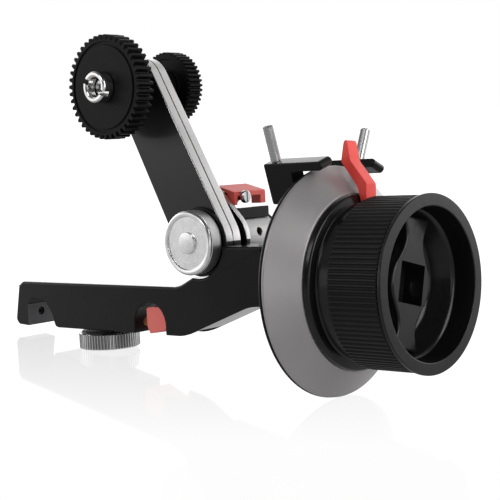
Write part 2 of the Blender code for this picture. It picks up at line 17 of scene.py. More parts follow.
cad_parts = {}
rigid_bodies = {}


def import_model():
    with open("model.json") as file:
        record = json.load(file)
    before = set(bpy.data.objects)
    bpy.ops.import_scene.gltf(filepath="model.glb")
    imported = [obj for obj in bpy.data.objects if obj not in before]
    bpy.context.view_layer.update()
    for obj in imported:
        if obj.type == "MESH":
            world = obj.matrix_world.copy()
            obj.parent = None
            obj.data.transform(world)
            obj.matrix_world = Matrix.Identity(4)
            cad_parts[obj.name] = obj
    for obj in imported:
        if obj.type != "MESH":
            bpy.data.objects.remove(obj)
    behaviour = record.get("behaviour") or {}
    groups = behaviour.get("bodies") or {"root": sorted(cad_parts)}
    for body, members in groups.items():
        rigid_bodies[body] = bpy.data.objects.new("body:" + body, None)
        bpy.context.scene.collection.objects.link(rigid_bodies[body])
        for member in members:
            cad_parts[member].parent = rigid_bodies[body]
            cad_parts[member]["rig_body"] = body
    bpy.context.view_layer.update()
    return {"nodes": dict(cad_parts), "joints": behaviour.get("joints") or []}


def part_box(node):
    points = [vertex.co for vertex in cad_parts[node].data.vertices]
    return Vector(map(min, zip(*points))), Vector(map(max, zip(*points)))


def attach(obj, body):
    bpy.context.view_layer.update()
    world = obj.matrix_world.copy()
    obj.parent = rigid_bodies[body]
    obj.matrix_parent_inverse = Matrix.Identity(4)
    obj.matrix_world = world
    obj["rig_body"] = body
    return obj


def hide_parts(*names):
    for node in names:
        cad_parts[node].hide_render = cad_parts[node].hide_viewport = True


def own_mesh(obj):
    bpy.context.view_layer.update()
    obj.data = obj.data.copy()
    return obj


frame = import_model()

MM = 0.001
NODES = frame["nodes"]
JOINT = {joint["name"]: joint for joint in frame["joints"]}


def joint_mm(name):
    """A joint's centre in millimetres."""
    return Vector(JOINT[name]["pos_m"]) / MM


def box_mm(node):
    """A CAD node's lowest and highest corners in millimetres."""
    low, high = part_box(node)
    return low / MM, high / MM


def show(thing):
    """Puts an object in the scene and gives it back."""
    bpy.context.scene.collection.objects.link(thing)
    return thing


PIVOT = joint_mm("arm_swing")
SPINDLE = joint_mm("gear_spindle_turn")
WHEEL = joint_mm("hand_wheel_turn")
print("frame holds", len(NODES), "nodes; arm length", round((SPINDLE - PIVOT).length, 1), "mm")

# %% [markdown]
# ## Camera, floor and light
#
# A product stands on a glossy white table with white paper behind it, so black metal gets long
# pale reflections along its edges. The light is one bright world behind the object, darker
# overhead and on the camera's side, with a few large soft lamps for the faces that look at us.
# A world could be a picture of a studio, but a gradient by direction is plainer to adjust.

# %% Camera
LOOK_AT = Vector((68.94, 4.80, 25.63)) * MM
CAMERA_DISTANCE = 430.34 * MM
CAMERA_AZIMUTH = radians(41.65)
CAMERA_ELEVATION = radians(4.09)
CAMERA_ROLL = radians(-3.09)
CAMERA_LENS = 91.78

back = Vector((sin(CAMERA_AZIMUTH) * cos(CAMERA_ELEVATION),
               -cos(CAMERA_AZIMUTH) * cos(CAMERA_ELEVATION), sin(CAMERA_ELEVATION)))
right = Vector((cos(CAMERA_AZIMUTH), sin(CAMERA_AZIMUTH), 0))
turned_view = Matrix((right, back.cross(right), back)).transposed() @ Matrix.Rotation(
    CAMERA_ROLL, 3, "Z")
lens = bpy.data.cameras.new("camera")
lens.lens = CAMERA_LENS
lens.sensor_width = 36
lens.clip_start, lens.clip_end = 0.01, 20
camera = show(bpy.data.objects.new("camera", lens))
camera.matrix_world = Matrix.Translation(LOOK_AT + back * CAMERA_DISTANCE) @ turned_view.to_4x4()
bpy.context.scene.camera = camera
bpy.context.scene.view_settings.view_transform = "Standard"
print("camera", round(camera.location.length, 3), "m from the rods")

# %% [markdown]
# A finish is a small network of nodes. Two helpers keep it readable: one starts a finish with
# its plain values, and the other adds a node and wires it in the same line.

# %% Finish helpers
def start_finish(name, colour, roughness, **sockets):
    """A new material with its plain values; gives the node tree and the shader."""
    finish = bpy.data.materials.new(name)
    finish.use_nodes = True
    finish.diffuse_color = (*colour, 1)
    shader = finish.node_tree.nodes["Principled BSDF"]
    shader.inputs["Base Color"].default_value = (*colour, 1)
    shader.inputs["Roughness"].default_value = roughness
    for socket, value in sockets.items():
        shader.inputs[socket.replace("_", " ")].default_value = value
    return finish, finish.node_tree, shader


def wire(tree, kind, inputs=None, **settings):
    """Adds one node; an input is a number, or another node's output to link."""
    made = tree.nodes.new("ShaderNode" + kind)
    for key, value in settings.items():
        setattr(made, key, value)
    for socket, value in (inputs or {}).items():
        if isinstance(value, bpy.types.NodeSocket):
            tree.links.new(value, made.inputs[socket])
        else:
            made.inputs[socket].default_value = value
    return made


def place_on(tree, centre=(0, 0, 0), turn=(0, 0, 0), scale=(1, 1, 1)):
    """Object coordinates moved, turned and stretched for a pattern; centre is in metres."""
    where = wire(tree, "TexCoord")
    moved = wire(tree, "Mapping", {"Vector": where.outputs["Object"],
                                   "Location": [-c for c in centre]})
    turned = wire(tree, "Mapping", {"Vector": moved.outputs[0], "Rotation": turn, "Scale": scale})
    return turned.outputs[0]


def noise(tree, vector, scale, detail):
    """A noise pattern's grey output."""
    made = wire(tree, "TexNoise", {"Vector": vector, "Scale": scale, "Detail": detail})
    return made.outputs["Fac"]


def spread(tree, value, low, high):
    """Stretches a 0..1 pattern to run from low to high."""
    return wire(tree, "MapRange", {"Value": value, "From Min": 0.3, "From Max": 0.7,
                                   "To Min": low, "To Max": high}).outputs[0]


def tint(tree, value, dark, light):
    """Colours a pattern from dark to light."""
    ramp = wire(tree, "ValToRGB", {"Fac": value})
    ramp.color_ramp.elements[0].position = 0.3
    ramp.color_ramp.elements[1].position = 0.7
    ramp.color_ramp.elements[0].color = (*dark, 1)
    ramp.color_ramp.elements[1].color = (*light, 1)
    return ramp.outputs[0]


def feed(tree, shader, colour, roughness):
    """Feeds a colour pattern and a roughness pattern to the shader."""
    tree.links.new(colour, shader.inputs["Base Color"])
    tree.links.new(roughness, shader.inputs["Roughness"])


def bump(tree, shader, height, strength, distance, under=None):
    """Feeds a height pattern to the shader's normal."""
    inputs = {"Height": height, "Strength": strength, "Distance": distance}
    if under:
        inputs["Normal"] = under
    made = wire(tree, "Bump", inputs)
    tree.links.new(made.outputs[0], shader.inputs["Normal"])


print("finish helpers ready")

# %% [markdown]
# ## Black anodised aluminium
#
# The bracket, the housings and the arm's faces are bead-blasted and dyed black. The blasting
# leaves a fine even grain, and the dye takes slightly unevenly, so the gloss drifts a little.

# %% Black anodised finish
def black_finish(name, dark, light, roughness, shine, grain_mm=0.12, depth_mm=0.003):
    """Blasted, dyed aluminium."""
    finish, tree, shader = start_finish(name, dark, roughness, Specular_IOR_Level=shine,
                                         Coat_Weight=1.0, Coat_Roughness=0.14, Coat_IOR=1.18)
    at = place_on(tree)
    cloud = noise(tree, at, 60, 3)
    grain = noise(tree, at, 1 / (grain_mm * MM), 2)
    colour = tint(tree, cloud, dark, light)
    gloss = wire(tree, "Math", {0: spread(tree, cloud, roughness - 0.04, roughness + 0.04),
                                1: spread(tree, grain, -0.03, 0.03)}, operation="ADD")
    feed(tree, shader, colour, gloss.outputs[0])
    bump(tree, shader, grain, 0.5, depth_mm * MM)
    return finish


BLACK = black_finish("blasted_black", (0.004, 0.0036, 0.004), (0.007, 0.006, 0.0068), 0.27, 0.1)
ARM_BLACK = black_finish("arm_black", (0.010, 0.009, 0.010), (0.015, 0.0135, 0.0145), 0.38, 0.3)
# A grey copy of the black finish for the left hook's inner wall: painted light where the lamp on
# the right falls on that wall.
HOOK_WALL_LIT_GREY = black_finish("hook_wall_painted_light", (0.085, 0.083, 0.09), (0.11, 0.107, 0.115), 0.5, 0.3)
print("black finishes:", BLACK.name, ARM_BLACK.name, HOOK_WALL_LIT_GREY.name)

# %% [markdown]
# ## Bright aluminium and steel
#
# Turned parts carry fine rings left by the lathe, and milled edges carry straight lines along
# the cut. Both are the same idea: a noise squeezed in one direction. Rings come from feeding
# the noise a distance from the axis in place of a plain position.

# %% Turned and brushed metal
def lathe_marks(tree, centre, axis, pitch_mm):
    """Noise in rings round an axis, the same all the way round."""
    at = place_on(tree, [c * MM for c in centre])
    parts = wire(tree, "SeparateXYZ", {0: at})
    across = [parts.outputs[i] for i in range(3) if "XYZ"[i] != axis]
    flat = wire(tree, "CombineXYZ", {0: across[0], 1: across[1]})
    reach = wire(tree, "VectorMath", {0: flat.outputs[0]}, operation="LENGTH")
    rings = wire(tree, "CombineXYZ", {0: reach.outputs["Value"],
                                      1: parts.outputs["XYZ".index(axis)]})
    return noise(tree, rings.outputs[0], 1 / (pitch_mm * MM), 2), at


def turned_metal(name, colour, roughness, centre, axis, pitch_mm=0.16, depth_mm=0.003,
                 painted_sheen_dim=0.78):
    """Metal turned on a lathe: rings, and streaks of painted highlight that spread out from the
    axis.
    """
    finish, tree, shader = start_finish(name, colour, roughness, Metallic=1.0)
    rings, at = lathe_marks(tree, centre, axis, pitch_mm)
    spoke = wire(tree, "VectorMath", {0: at}, operation="NORMALIZE")
    # Radial streaks of darker colour: a painted highlight standing in for the bow-tie sheen of a
    # turned face.
    painted_sheen_fan = noise(tree, spoke.outputs[0], 5, 4)
    dark = [c * painted_sheen_dim for c in colour]
    feed(tree, shader, tint(tree, painted_sheen_fan, dark, colour),
         spread(tree, rings, roughness - 0.06, roughness + 0.06))
    bump(tree, shader, rings, 0.4, depth_mm * MM)
    return finish


def brushed_metal(name, colour, roughness, turn, pitch_mm=0.09, depth_mm=0.0015):
    """Metal with straight fine lines along the turned Z axis."""
    finish, tree, shader = start_finish(name, colour, roughness, Metallic=1.0)
    at = place_on(tree, turn=turn, scale=(1, 1, 0.006))
    lines = noise(tree, at, 1 / (pitch_mm * MM), 2)
    cloud = noise(tree, place_on(tree), 70, 3)
    dark = [c * 0.84 for c in colour]
    feed(tree, shader, tint(tree, cloud, dark, colour),
         spread(tree, lines, roughness - 0.05, roughness + 0.05))
    bump(tree, shader, lines, 0.3, depth_mm * MM)
    return finish


ARM_LEAN = atan2(PIVOT.x - SPINDLE.x, SPINDLE.z - PIVOT.z)
ALONG_X, ALONG_Y, UPRIGHT = (0, pi / 2, 0), (pi / 2, 0, 0), (0, 0, 0)
EDGE_SILVER = brushed_metal("milled_edge", (0.80, 0.79, 0.785), 0.26, (0, -ARM_LEAN, 0))
KNOB_SILVER = turned_metal("turned_knob", (0.95, 0.94, 0.94), 0.28, PIVOT, "Y", 0.35, 0.0008, 0.84)
KNOB_SIDE = brushed_metal("knob_side", (0.88, 0.87, 0.87), 0.46, ALONG_Y, 0.5, 0.006)
BARREL_SILVER = turned_metal("blasted_barrel", (0.66, 0.65, 0.65), 0.42, PIVOT, "Y", 0.1, 0.003)
COLLET_SILVER = turned_metal("turned_collet", (0.80, 0.79, 0.78), 0.22, SPINDLE, "Y")
THUMB_SILVER = turned_metal("turned_thumb_wheel", (0.86, 0.85, 0.85), 0.2,
                            joint_mm("thumb_screw_turn"), "Z")
SCREW_STEEL = brushed_metal("knurled_steel", (0.50, 0.50, 0.505), 0.30, UPRIGHT, 0.2)
SHAFT_STEEL = brushed_metal("ground_steel", (0.62, 0.62, 0.63), 0.22, ALONG_X, 0.12)
BRONZE = brushed_metal("oiled_bronze", (0.30, 0.18, 0.09), 0.40, ALONG_X, 0.14)
print("lean of the arm", round(degrees(ARM_LEAN), 1), "degrees")

# %% [markdown]
# ## Red anodising, plastics and rubber
#
# Red parts are dyed aluminium: the dye is clear, so a little metal shows through it. The gears
# are machined acetal, a dull plastic with faint tool rings. The hand wheel is moulded nylon with
# a slight orange peel, and its grip is rubber. The marking ring is frosted so a pencil can
# write on it.

# %% Red, plastic and rubber finishes
def red_finish(name, dark, light, roughness, metallic):
    """Clear red dye over blasted aluminium."""
    finish, tree, shader = start_finish(name, dark, roughness, Metallic=metallic)
    at = place_on(tree)
    cloud = noise(tree, at, 110, 3)
    grain = noise(tree, at, 9000, 2)
    feed(tree, shader, tint(tree, cloud, dark, light),
         spread(tree, grain, roughness - 0.05, roughness + 0.05))
    bump(tree, shader, grain, 0.4, 0.005 * MM)
    return finish


def moulded_finish(name, dark, light, roughness, peel_mm, depth_mm):
    """Moulded plastic or rubber: soft peel over a very fine grain."""
    finish, tree, shader = start_finish(name, dark, roughness, Specular_IOR_Level=0.32)
    at = place_on(tree)
    peel = noise(tree, at, 1 / (peel_mm * MM), 3)
    grain = noise(tree, at, 12000, 1)
    feed(tree, shader, tint(tree, noise(tree, at, 80, 2), dark, light),
         spread(tree, peel, roughness - 0.05, roughness + 0.05))
    under = wire(tree, "Bump", {"Height": grain, "Strength": 0.15, "Distance": 0.002 * MM})
    bump(tree, shader, peel, 0.3, depth_mm * MM, under.outputs[0])
    return finish


def acetal_finish(name, centre):
    """Machined black acetal with faint tool rings on its flat faces."""
    finish, tree, shader = start_finish(name, (0.005, 0.0042, 0.0045), 0.42,
                                         Specular_IOR_Level=0.12)
    rings, at = lathe_marks(tree, centre, "Y", 0.25)
    cloud = noise(tree, at, 120, 3)
    feed(tree, shader, tint(tree, cloud, (0.003, 0.0025, 0.0027), (0.006, 0.0052, 0.0055)),
         spread(tree, rings, 0.38, 0.48))
    bump(tree, shader, rings, 0.35, 0.005 * MM)
    return finish


def frosted_finish(name, centre):
    """Fine frosting with the faint rings of the lathe under it."""
    finish, tree, shader = start_finish(name, (0.42, 0.40, 0.405), 0.38, Metallic=0.55)
    rings, at = lathe_marks(tree, centre, "X", 0.3)
    frost = noise(tree, at, 7000, 3)
    cloud = noise(tree, at, 45, 2)
    feed(tree, shader, tint(tree, cloud, (0.37, 0.352, 0.356), (0.42, 0.40, 0.405)),
         spread(tree, rings, 0.36, 0.44))
    under = wire(tree, "Bump", {"Height": rings, "Strength": 0.25, "Distance": 0.004 * MM})
    bump(tree, shader, frost, 0.4, 0.006 * MM, under.outputs[0])
    return finish


RED = red_finish("red_anodised", (0.86, 0.055, 0.042), (0.96, 0.080, 0.062), 0.34, 0.15)
LATCH_RED = red_finish("latch_red", (0.92, 0.17, 0.145), (0.98, 0.22, 0.19), 0.40, 0.0)
LEVER_RED = red_finish("lever_red", (0.80, 0.105, 0.085), (0.88, 0.14, 0.115), 0.46, 0.0)
WHEEL_BLACK = moulded_finish("moulded_nylon", (0.007, 0.0065, 0.0068), (0.010, 0.009, 0.0095),
                             0.22, 2.4, 0.002)
GRIP_BLACK = moulded_finish("grip_rubber", (0.005, 0.0045, 0.0045), (0.009, 0.008, 0.008),
                            0.44, 0.7, 0.012)
# A darker copy of the grip rubber for the grooves between the ribs: painted shade in the grooves.
GROOVE_SHADE_BLACK = moulded_finish("grip_groove_painted_shade", (0.004, 0.0035, 0.0035), (0.006, 0.005, 0.005),
                              0.6, 0.7, 0.012)
BELT_BLACK = moulded_finish("belt_rubber", (0.018, 0.018, 0.019), (0.026, 0.026, 0.027),
                            0.66, 0.5, 0.02)
GEAR_BLACK = acetal_finish("gear_acetal", SPINDLE)
FROSTED = frosted_finish("frosted_ring", WHEEL)
print(len(bpy.data.materials), "finishes so far")

# %% [markdown]
# ## Drawing, turning and cutting
#
# A machinist makes nearly all of this on a lathe and a mill, and the code does the same. A pen
# draws a flat outline that is filled and given thickness, or half a profile is drawn and spun.
# Cuts are made with a tool shape. Every sharp edge is then broken with a small bevel, because a
# perfectly sharp edge never catches light.

# %% Drawing and shaping tools
AXES = "XYZ"
SPIN_TO = {"X": Matrix.Rotation(pi / 2, 4, "Y"), "Y": Matrix.Rotation(-pi / 2, 4, "X"),
           "Z": Matrix.Identity(4)}
STAND = {"X": Matrix(((0, 0, 1, 0), (1, 0, 0, 0), (0, 1, 0, 0), (0, 0, 0, 1))),
         "Y": Matrix(((1, 0, 0, 0), (0, 0, -1, 0), (0, 1, 0, 0), (0, 0, 0, 1)))}


def along(axis, distance):
    """A vector of that length along an axis."""
    return Vector([distance if letter == axis else 0 for letter in AXES])


def verts_in(geometry):
    """The vertices among what an operator made."""
    return [item for item in geometry if isinstance(item, bmesh.types.BMVert)]


def round_corners(bm, corners, segments=5):
    """Rounds drawn corners: a dict of vertex to size."""
    for size in sorted(set(corners.values())):
        chosen = [v for v, s in corners.items() if s == size]
        bmesh.ops.bevel(bm, geom=chosen, offset=size, offset_type="OFFSET", segments=segments,
                        profile=0.5, affect="VERTICES", material=-1)


def draw(bm, moves):
    """Draws a closed outline: (x, y), (x, y, corner size) or an arc (x, y, degrees, steps)."""
    pen = first = None
    corners = {}
    for move in moves:
        if len(move) == 4:
            swept = bmesh.ops.spin(bm, geom=[pen], cent=(move[0], move[1], 0), axis=(0, 0, 1),
                                   angle=radians(move[2]), steps=move[3], use_duplicate=False)
            pen = verts_in(swept["geom_last"])[0]
            continue
        point = bmesh.ops.create_vert(bm, co=(move[0], move[1], 0))["vert"][0]
        if pen:
            bm.edges.new((pen, point))
        first = first or point
        pen = point
        if len(move) == 3:
            corners[point] = move[2]
    bm.edges.new((pen, first))
    round_corners(bm, corners)


def thicken(bm, axis, low, high):
    """Fills a drawing, stands it across an axis and gives it thickness."""
    bmesh.ops.triangle_fill(bm, use_beauty=True, use_dissolve=False, edges=bm.edges[:],
                            normal=(0, 0, 1))
    bmesh.ops.dissolve_limit(bm, angle_limit=radians(0.5), verts=bm.verts[:], edges=bm.edges[:])
    if axis != "Z":
        bmesh.ops.transform(bm, matrix=STAND[axis], verts=bm.verts)
    bmesh.ops.translate(bm, vec=along(axis, low), verts=bm.verts)
    raised = bmesh.ops.extrude_face_region(bm, geom=bm.faces[:])
    bmesh.ops.translate(bm, vec=along(axis, high - low), verts=verts_in(raised["geom"]))
    bmesh.ops.recalc_face_normals(bm, faces=bm.faces)


def soften(bm, width, segments=3, limit=30, where=None):
    """Breaks the edges that are sharper than the limit, or only those that where() picks."""
    sharp = [edge for edge in bm.edges if len(edge.link_faces) == 2
             and edge.calc_face_angle() > radians(limit) and (where is None or where(edge))]
    bmesh.ops.bevel(bm, geom=sharp, offset=width, offset_type="OFFSET", segments=segments,
                    profile=0.5, affect="EDGES", material=-1, clamp_overlap=False)


def mill(axis, low, high, *outlines):
    """A plate from drawn outlines: the first is its edge and the others are holes."""
    bm = bmesh.new()
    for outline in outlines:
        if callable(outline):
            outline(bm)
        else:
            draw(bm, outline)
    thicken(bm, axis, low, high)
    return bm


def lathe(axis, centre, corners, steps=96):
    """Spins a profile of (radius, height) or (radius, height, corner size) round an axis.

    A profile that starts away from the axis is closed into a ring.
    """
    bm = bmesh.new()
    verts = [bmesh.ops.create_vert(bm, co=(c[0], 0, c[1]))["vert"][0] for c in corners]
    for first, second in zip(verts, verts[1:]):
        bm.edges.new((first, second))
    if corners[0][0] > 0:
        bm.edges.new((verts[-1], verts[0]))
    round_corners(bm, {v: c[2] for v, c in zip(verts, corners) if len(c) == 3}, 4)
    bmesh.ops.spin(bm, geom=bm.verts[:] + bm.edges[:], cent=(0, 0, 0), axis=(0, 0, 1),
                   angle=2 * pi, steps=steps, use_merge=True, use_duplicate=False)
    bmesh.ops.remove_doubles(bm, verts=bm.verts, dist=0.0005)
    bmesh.ops.recalc_face_normals(bm, faces=bm.faces)
    bmesh.ops.transform(bm, matrix=Matrix.Translation(centre) @ SPIN_TO[axis], verts=bm.verts)
    return bm


def bar(axis, centre, radius, low, high, steps=48):
    """A plain round bar or drill between two heights."""
    bm = bmesh.new()
    bmesh.ops.create_cone(bm, cap_ends=True, segments=steps, radius1=radius, radius2=radius,
                          depth=high - low, matrix=Matrix.Translation((0, 0, (low + high) / 2)))
    bmesh.ops.transform(bm, matrix=Matrix.Translation(centre) @ SPIN_TO[axis], verts=bm.verts)
    return bm


def block(low, high):
    """A plain box between two corners."""
    bm = bmesh.new()
    low, high = Vector(low), Vector(high)
    size = Matrix.Diagonal((*(high - low), 1))
    bmesh.ops.create_cube(bm, size=1, matrix=Matrix.Translation((low + high) / 2) @ size)
    return bm


def join(bm, tool, operation="UNION"):
    """Joins a shape on, or cuts it out, and gives the result."""
    pair = []
    for shape in (bm, tool):
        mesh = bpy.data.meshes.new("blank")
        shape.to_mesh(mesh)
        shape.free()
        pair.append(show(bpy.data.objects.new("blank", mesh)))
    cut = pair[0].modifiers.new("cut", "BOOLEAN")
    cut.operation, cut.solver, cut.object = operation, "EXACT", pair[1]
    bpy.context.view_layer.update()
    result = bmesh.new()
    result.from_object(pair[0], bpy.context.evaluated_depsgraph_get())
    for blank in pair:
        bpy.data.meshes.remove(blank.data)
    bmesh.ops.remove_doubles(result, verts=result.verts, dist=0.0005)
    bmesh.ops.dissolve_limit(result, angle_limit=radians(0.5), verts=result.verts[:],
                             edges=result.edges[:])
    return result


def carve(bm, *tools):
    """Cuts tools out of a shape, one after another."""
    for tool in tools:
        bm = join(bm, tool, "DIFFERENCE")
    return bm


def finish_piece(bm, name, node, finishes, crease=38):
    """Scales a shape to metres and makes it a piece that rides where its CAD node does."""
    bmesh.ops.dissolve_degenerate(bm, dist=0.0005, edges=bm.edges[:])
    bmesh.ops.scale(bm, vec=(MM, MM, MM), verts=bm.verts)
    for face in bm.faces:
        face.smooth = True
    mesh = bpy.data.meshes.new(name)
    bm.to_mesh(mesh)
    bm.free()
    for surface in finishes if isinstance(finishes, tuple) else (finishes,):
        mesh.materials.append(surface)
    mesh.set_sharp_from_angle(angle=radians(crease))
    piece = show(bpy.data.objects.new(name, mesh))
    shading = piece.modifiers.new("even_shading", "WEIGHTED_NORMAL")
    shading.keep_sharp = True
    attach(piece, NODES[node]["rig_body"])
    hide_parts(node)
    return piece


print("shaping tools ready")

# %% [markdown]
# Rings and round pins turn up all through the device. Each is spun between the two ends of its
# CAD node, so only its radii and the sizes of its broken corners are left to say.

# %% Rings and pins
def ends(node, axis):
    """A CAD node's two ends along an axis, in millimetres."""
    return [corner[AXES.index(axis)] for corner in box_mm(node)]


def ring_piece(name, node, axis, centre, radii, breaks, surface, steps=96):
    """A turned ring; the corner breaks go inside low, inside high, outside high, outside low."""
    (inner, outer), (low, high) = radii, ends(node, axis)
    corners = zip((inner, inner, outer, outer), (low, high, high, low), breaks)
    finish_piece(lathe(axis, centre, list(corners), steps), name, node, surface)


def pin_piece(name, node, axis, centre, radius, corner, surface, steps=48):
    """A turned solid pin with both of its ends broken."""
    low, high = ends(node, axis)
    profile = [(0, low), (radius, low, corner), (radius, high, corner), (0, high)]
    finish_piece(lathe(axis, centre, profile, steps), name, node, surface)


def wrapped(axis, discs, low, high, steps=72):
    """A block wrapped round discs, each a centre and a radius, across an axis."""
    bm = bmesh.new()
    for centre, radius in discs:
        place = Vector(centre)
        place[AXES.index(axis)] = (low + high) / 2
        disc = bmesh.ops.create_cone(bm, cap_ends=True, segments=steps, radius1=radius,
                                     radius2=radius, depth=high - low)["verts"]
        bmesh.ops.transform(bm, matrix=Matrix.Translation(place) @ SPIN_TO[axis], verts=disc)
    hull = bmesh.ops.convex_hull(bm, input=bm.verts[:])
    spare = verts_in(hull["geom_interior"] + hull["geom_unused"])
    bmesh.ops.delete(bm, geom=spare, context="VERTS")
    bmesh.ops.delete(bm, geom=[f for f in bm.faces if f.normal.length == 0], context="FACES")
    bmesh.ops.dissolve_limit(bm, angle_limit=radians(0.5), verts=bm.verts[:], edges=bm.edges[:])
    return bm


print("rings, pins and wrapped blocks ready")

# %% [markdown]
# ## The rod bracket
#
# One milled plate hooks over both rods and rises to a cradle for the arm. It could be built from
# boxes and subdivided, but its outline is exact, so a pen draws it once: straight runs, a round
# seat for the right rod and the hollow of the cradle. Pockets and holes are then cut out of it.

# %% Rod bracket
ROD_X, SEAT_R = 30, 7.7
CRADLE_R, CRADLE_START = 12.4, radians(258)
BEAM_TOP = 13.6
SPRING_Z, HOOK_SCREW_Z = 4.2, 1.5
THUMB = Vector((joint_mm("thumb_screw_turn").x, 0, 0))
low, high = box_mm("bracket_body")
cradle_start = (PIVOT.x + CRADLE_R * cos(CRADLE_START), PIVOT.z + CRADLE_R * sin(CRADLE_START))
outline = [(-40.6, BEAM_TOP, 0.9), (44.5, BEAM_TOP, 2.5), cradle_start, (PIVOT.x, PIVOT.z, 96, 28),
           (70, high.z), (high.x, high.z, 0.8), (high.x, 8.1, 1.0), (77.2, 7.9, 3.0),
           (56.3, 0, 6.0), (48.6, -2.8, 2.0), (45, -3.5, 1.5), (ROD_X + SEAT_R, -3.5),
           (ROD_X + SEAT_R, 0), (ROD_X, 0, 180, 32), (ROD_X - SEAT_R, -3.5, 0.6),
           (-19.8, -3.5, 1.2), (-21.6, -2.9, 0.6), (-22.3, -1.2), (-23.0, 1.6, 1.0),
           (-27.6, 7.5, 1.0), (-35.2, 7.5, 1.0), (-37.7, 4.6, 1.0), (-37.7, -3.5, 0.4),
           (-43.6, -3.2, 0.8), (-45.2, -1.4, 1.0), (-42.2, 12.2, 0.9)]
bracket = mill("Y", low.y, high.y, outline)
SHOULDER_Z = 12


def upper_outline(edge):
    """True on the face outlines above the rod seats, which get the wide break."""
    return all(abs(abs(v.co.y) - high.y) < 0.01 and v.co.z > SHOULDER_Z for v in edge.verts)


def lower_outline(edge):
    """True on the face outlines below, but not along the small runs of the left seat."""
    on_outline = all(abs(abs(v.co.y) - high.y) < 0.01 and v.co.z < SHOULDER_Z for v in edge.verts)
    return on_outline and not all(-38 < v.co.x < -19 for v in edge.verts)


soften(bracket, 0.9, 4, 60, upper_outline)
soften(bracket, 0.4, 3, 60, lower_outline)
latch_pocket = block((31, -5.4, -9), (53.2, 5.4, 6.7))
spring_hole = bar("X", (0, 0, SPRING_Z), 2.2, 50, 60.5)
plunger_hole = bar("X", (0, 0, 0), 2.3, -26, 26)
stud_hole = bar("Z", THUMB, 2.9, -6, 7)
hook_hole = bar("X", (0, 0, HOOK_SCREW_Z), 1.5, -46, -36)
bracket = carve(bracket, latch_pocket, spring_hole, plunger_hole, stud_hole, hook_hole)
# The left hook's inner wall, facing +X, takes the grey copy of the black: painted light on that
# wall.
for face in bracket.faces:
    middle = face.calc_center_median()
    if face.normal.x > 0.9 and -38 < middle.x < -37:
        face.material_index = 1
finish_piece(bracket, "rod_bracket", "bracket_body", (BLACK, HOOK_WALL_LIT_GREY))

# %% [markdown]
# ## Rod clamp
#
# A knurled wheel under the bracket drives a cone between two bronze plungers that grip the
# rods. The knurl is straight: a ring of points is drawn and two in every four are pulled in.
# A red latch with a bevelled nose snaps round the right-hand rod, pushed by a coil spring.

# %% Ribbed ring helper
def ribbed_bar(axis, centre, outer, groove, low, high, ribs, end_break):
    """A bar with straight ribs along it; the end break slopes each end into the grooves."""
    bm = bmesh.new()
    ring = bmesh.ops.create_circle(bm, segments=ribs * 4, radius=outer)["verts"]
    ring.sort(key=lambda v: atan2(v.co.y, v.co.x))
    hollow = [v for i, v in enumerate(ring) if i % 4 in (1, 2)]
    bmesh.ops.scale(bm, vec=(groove / outer, groove / outer, 1), verts=hollow)
    bmesh.ops.translate(bm, vec=(0, 0, low), verts=ring)
    loop = bm.edges[:]
    shrink = (groove - 0.05) / outer
    bmesh.ops.scale(bm, vec=(shrink, shrink, 1), verts=ring)
    for rise, scale in ((end_break, 1 / shrink), (high - low - 2 * end_break, 1),
                        (end_break, shrink)):
        made = bmesh.ops.extrude_edge_only(bm, edges=loop)["geom"]
        fresh = verts_in(made)
        loop = [item for item in made if isinstance(item, bmesh.types.BMEdge)]
        bmesh.ops.scale(bm, vec=(scale, scale, 1), verts=fresh)
        bmesh.ops.translate(bm, vec=(0, 0, rise), verts=fresh)
    bmesh.ops.holes_fill(bm, edges=bm.edges, sides=0)
    bmesh.ops.recalc_face_normals(bm, faces=bm.faces)
    # Faces in the grooves take the second finish, which on the grip and the thumb wheel is darker:
    # painted shade in the grooves.
    for face in bm.faces:
        reach = face.calc_center_median().to_2d().length
        face.material_index = int(abs(face.normal.z) < 0.5 and reach < (outer + groove) / 2)
    bmesh.ops.transform(bm, matrix=Matrix.Translation(centre) @ SPIN_TO[axis], verts=bm.verts)
    return bm


print("ribbed bars ready")

# %% Thumb wheel, washer, stud and plungers
low, high = box_mm("thumb_wheel")
wheel = ribbed_bar("Z", THUMB, high.x - THUMB.x, 10.6, low.z, high.z, 60, 0.35)
dish = [(0, low.z - 1), (7.2, low.z - 1), (7.2, low.z + 0.7, 0.3), (0, low.z + 0.7)]
wheel = carve(wheel, lathe("Z", THUMB, dish, 64))
# The knurl's grooves take the darker knurled steel: painted shade in the grooves.
finish_piece(wheel, "knurled_thumb_wheel", "thumb_wheel", (THUMB_SILVER, SCREW_STEEL))

ring_piece("clamp_washer", "thumb_washer", "Z", THUMB, (2.9, 10.2), (0.1, 0.1, 0.3, 0.3), BLACK)
low, high = ends("thumb_stud", "Z")
stud = [(0, high), (1.2, high, 0.2), (2.3, -1, 0.3), (2.3, low, 0.3), (0, low)]
finish_piece(lathe("Z", THUMB, stud, 48), "wedge_stud", "thumb_stud", SHAFT_STEEL)
for side in ("left", "right"):
    pin_piece("rod_plunger_" + side, "clamp_plunger_" + side, "X", (0, 0, 0), 2, 0.5, BRONZE)

# %% Set screw in the left hook
low, high = ends("hook_set_screw", "X")
screw = bar("X", (0, 0, HOOK_SCREW_Z), 1.2, low, high, 32)
soften(screw, 0.12, 2, 60)
key = bar("X", (0, 0, HOOK_SCREW_Z), 0.75, high - 1.4, high + 1, 6)
finish_piece(carve(screw, key), "hook_grub_screw", "hook_set_screw", ARM_BLACK)

# %% Snap latch and its spring
low, high = box_mm("rod_latch")
nose = [(26.9, 5.6, 0.6), (30.2, 6.1, 0.8), (high.x, 6.1, 0.4), (high.x, -2.3, 0.4),
        (37.4, -2.3), (28.2, low.z, 0.5), (low.x + 0.1, -1.2, 0.5)]
latch = mill("Y", low.y, high.y, nose)


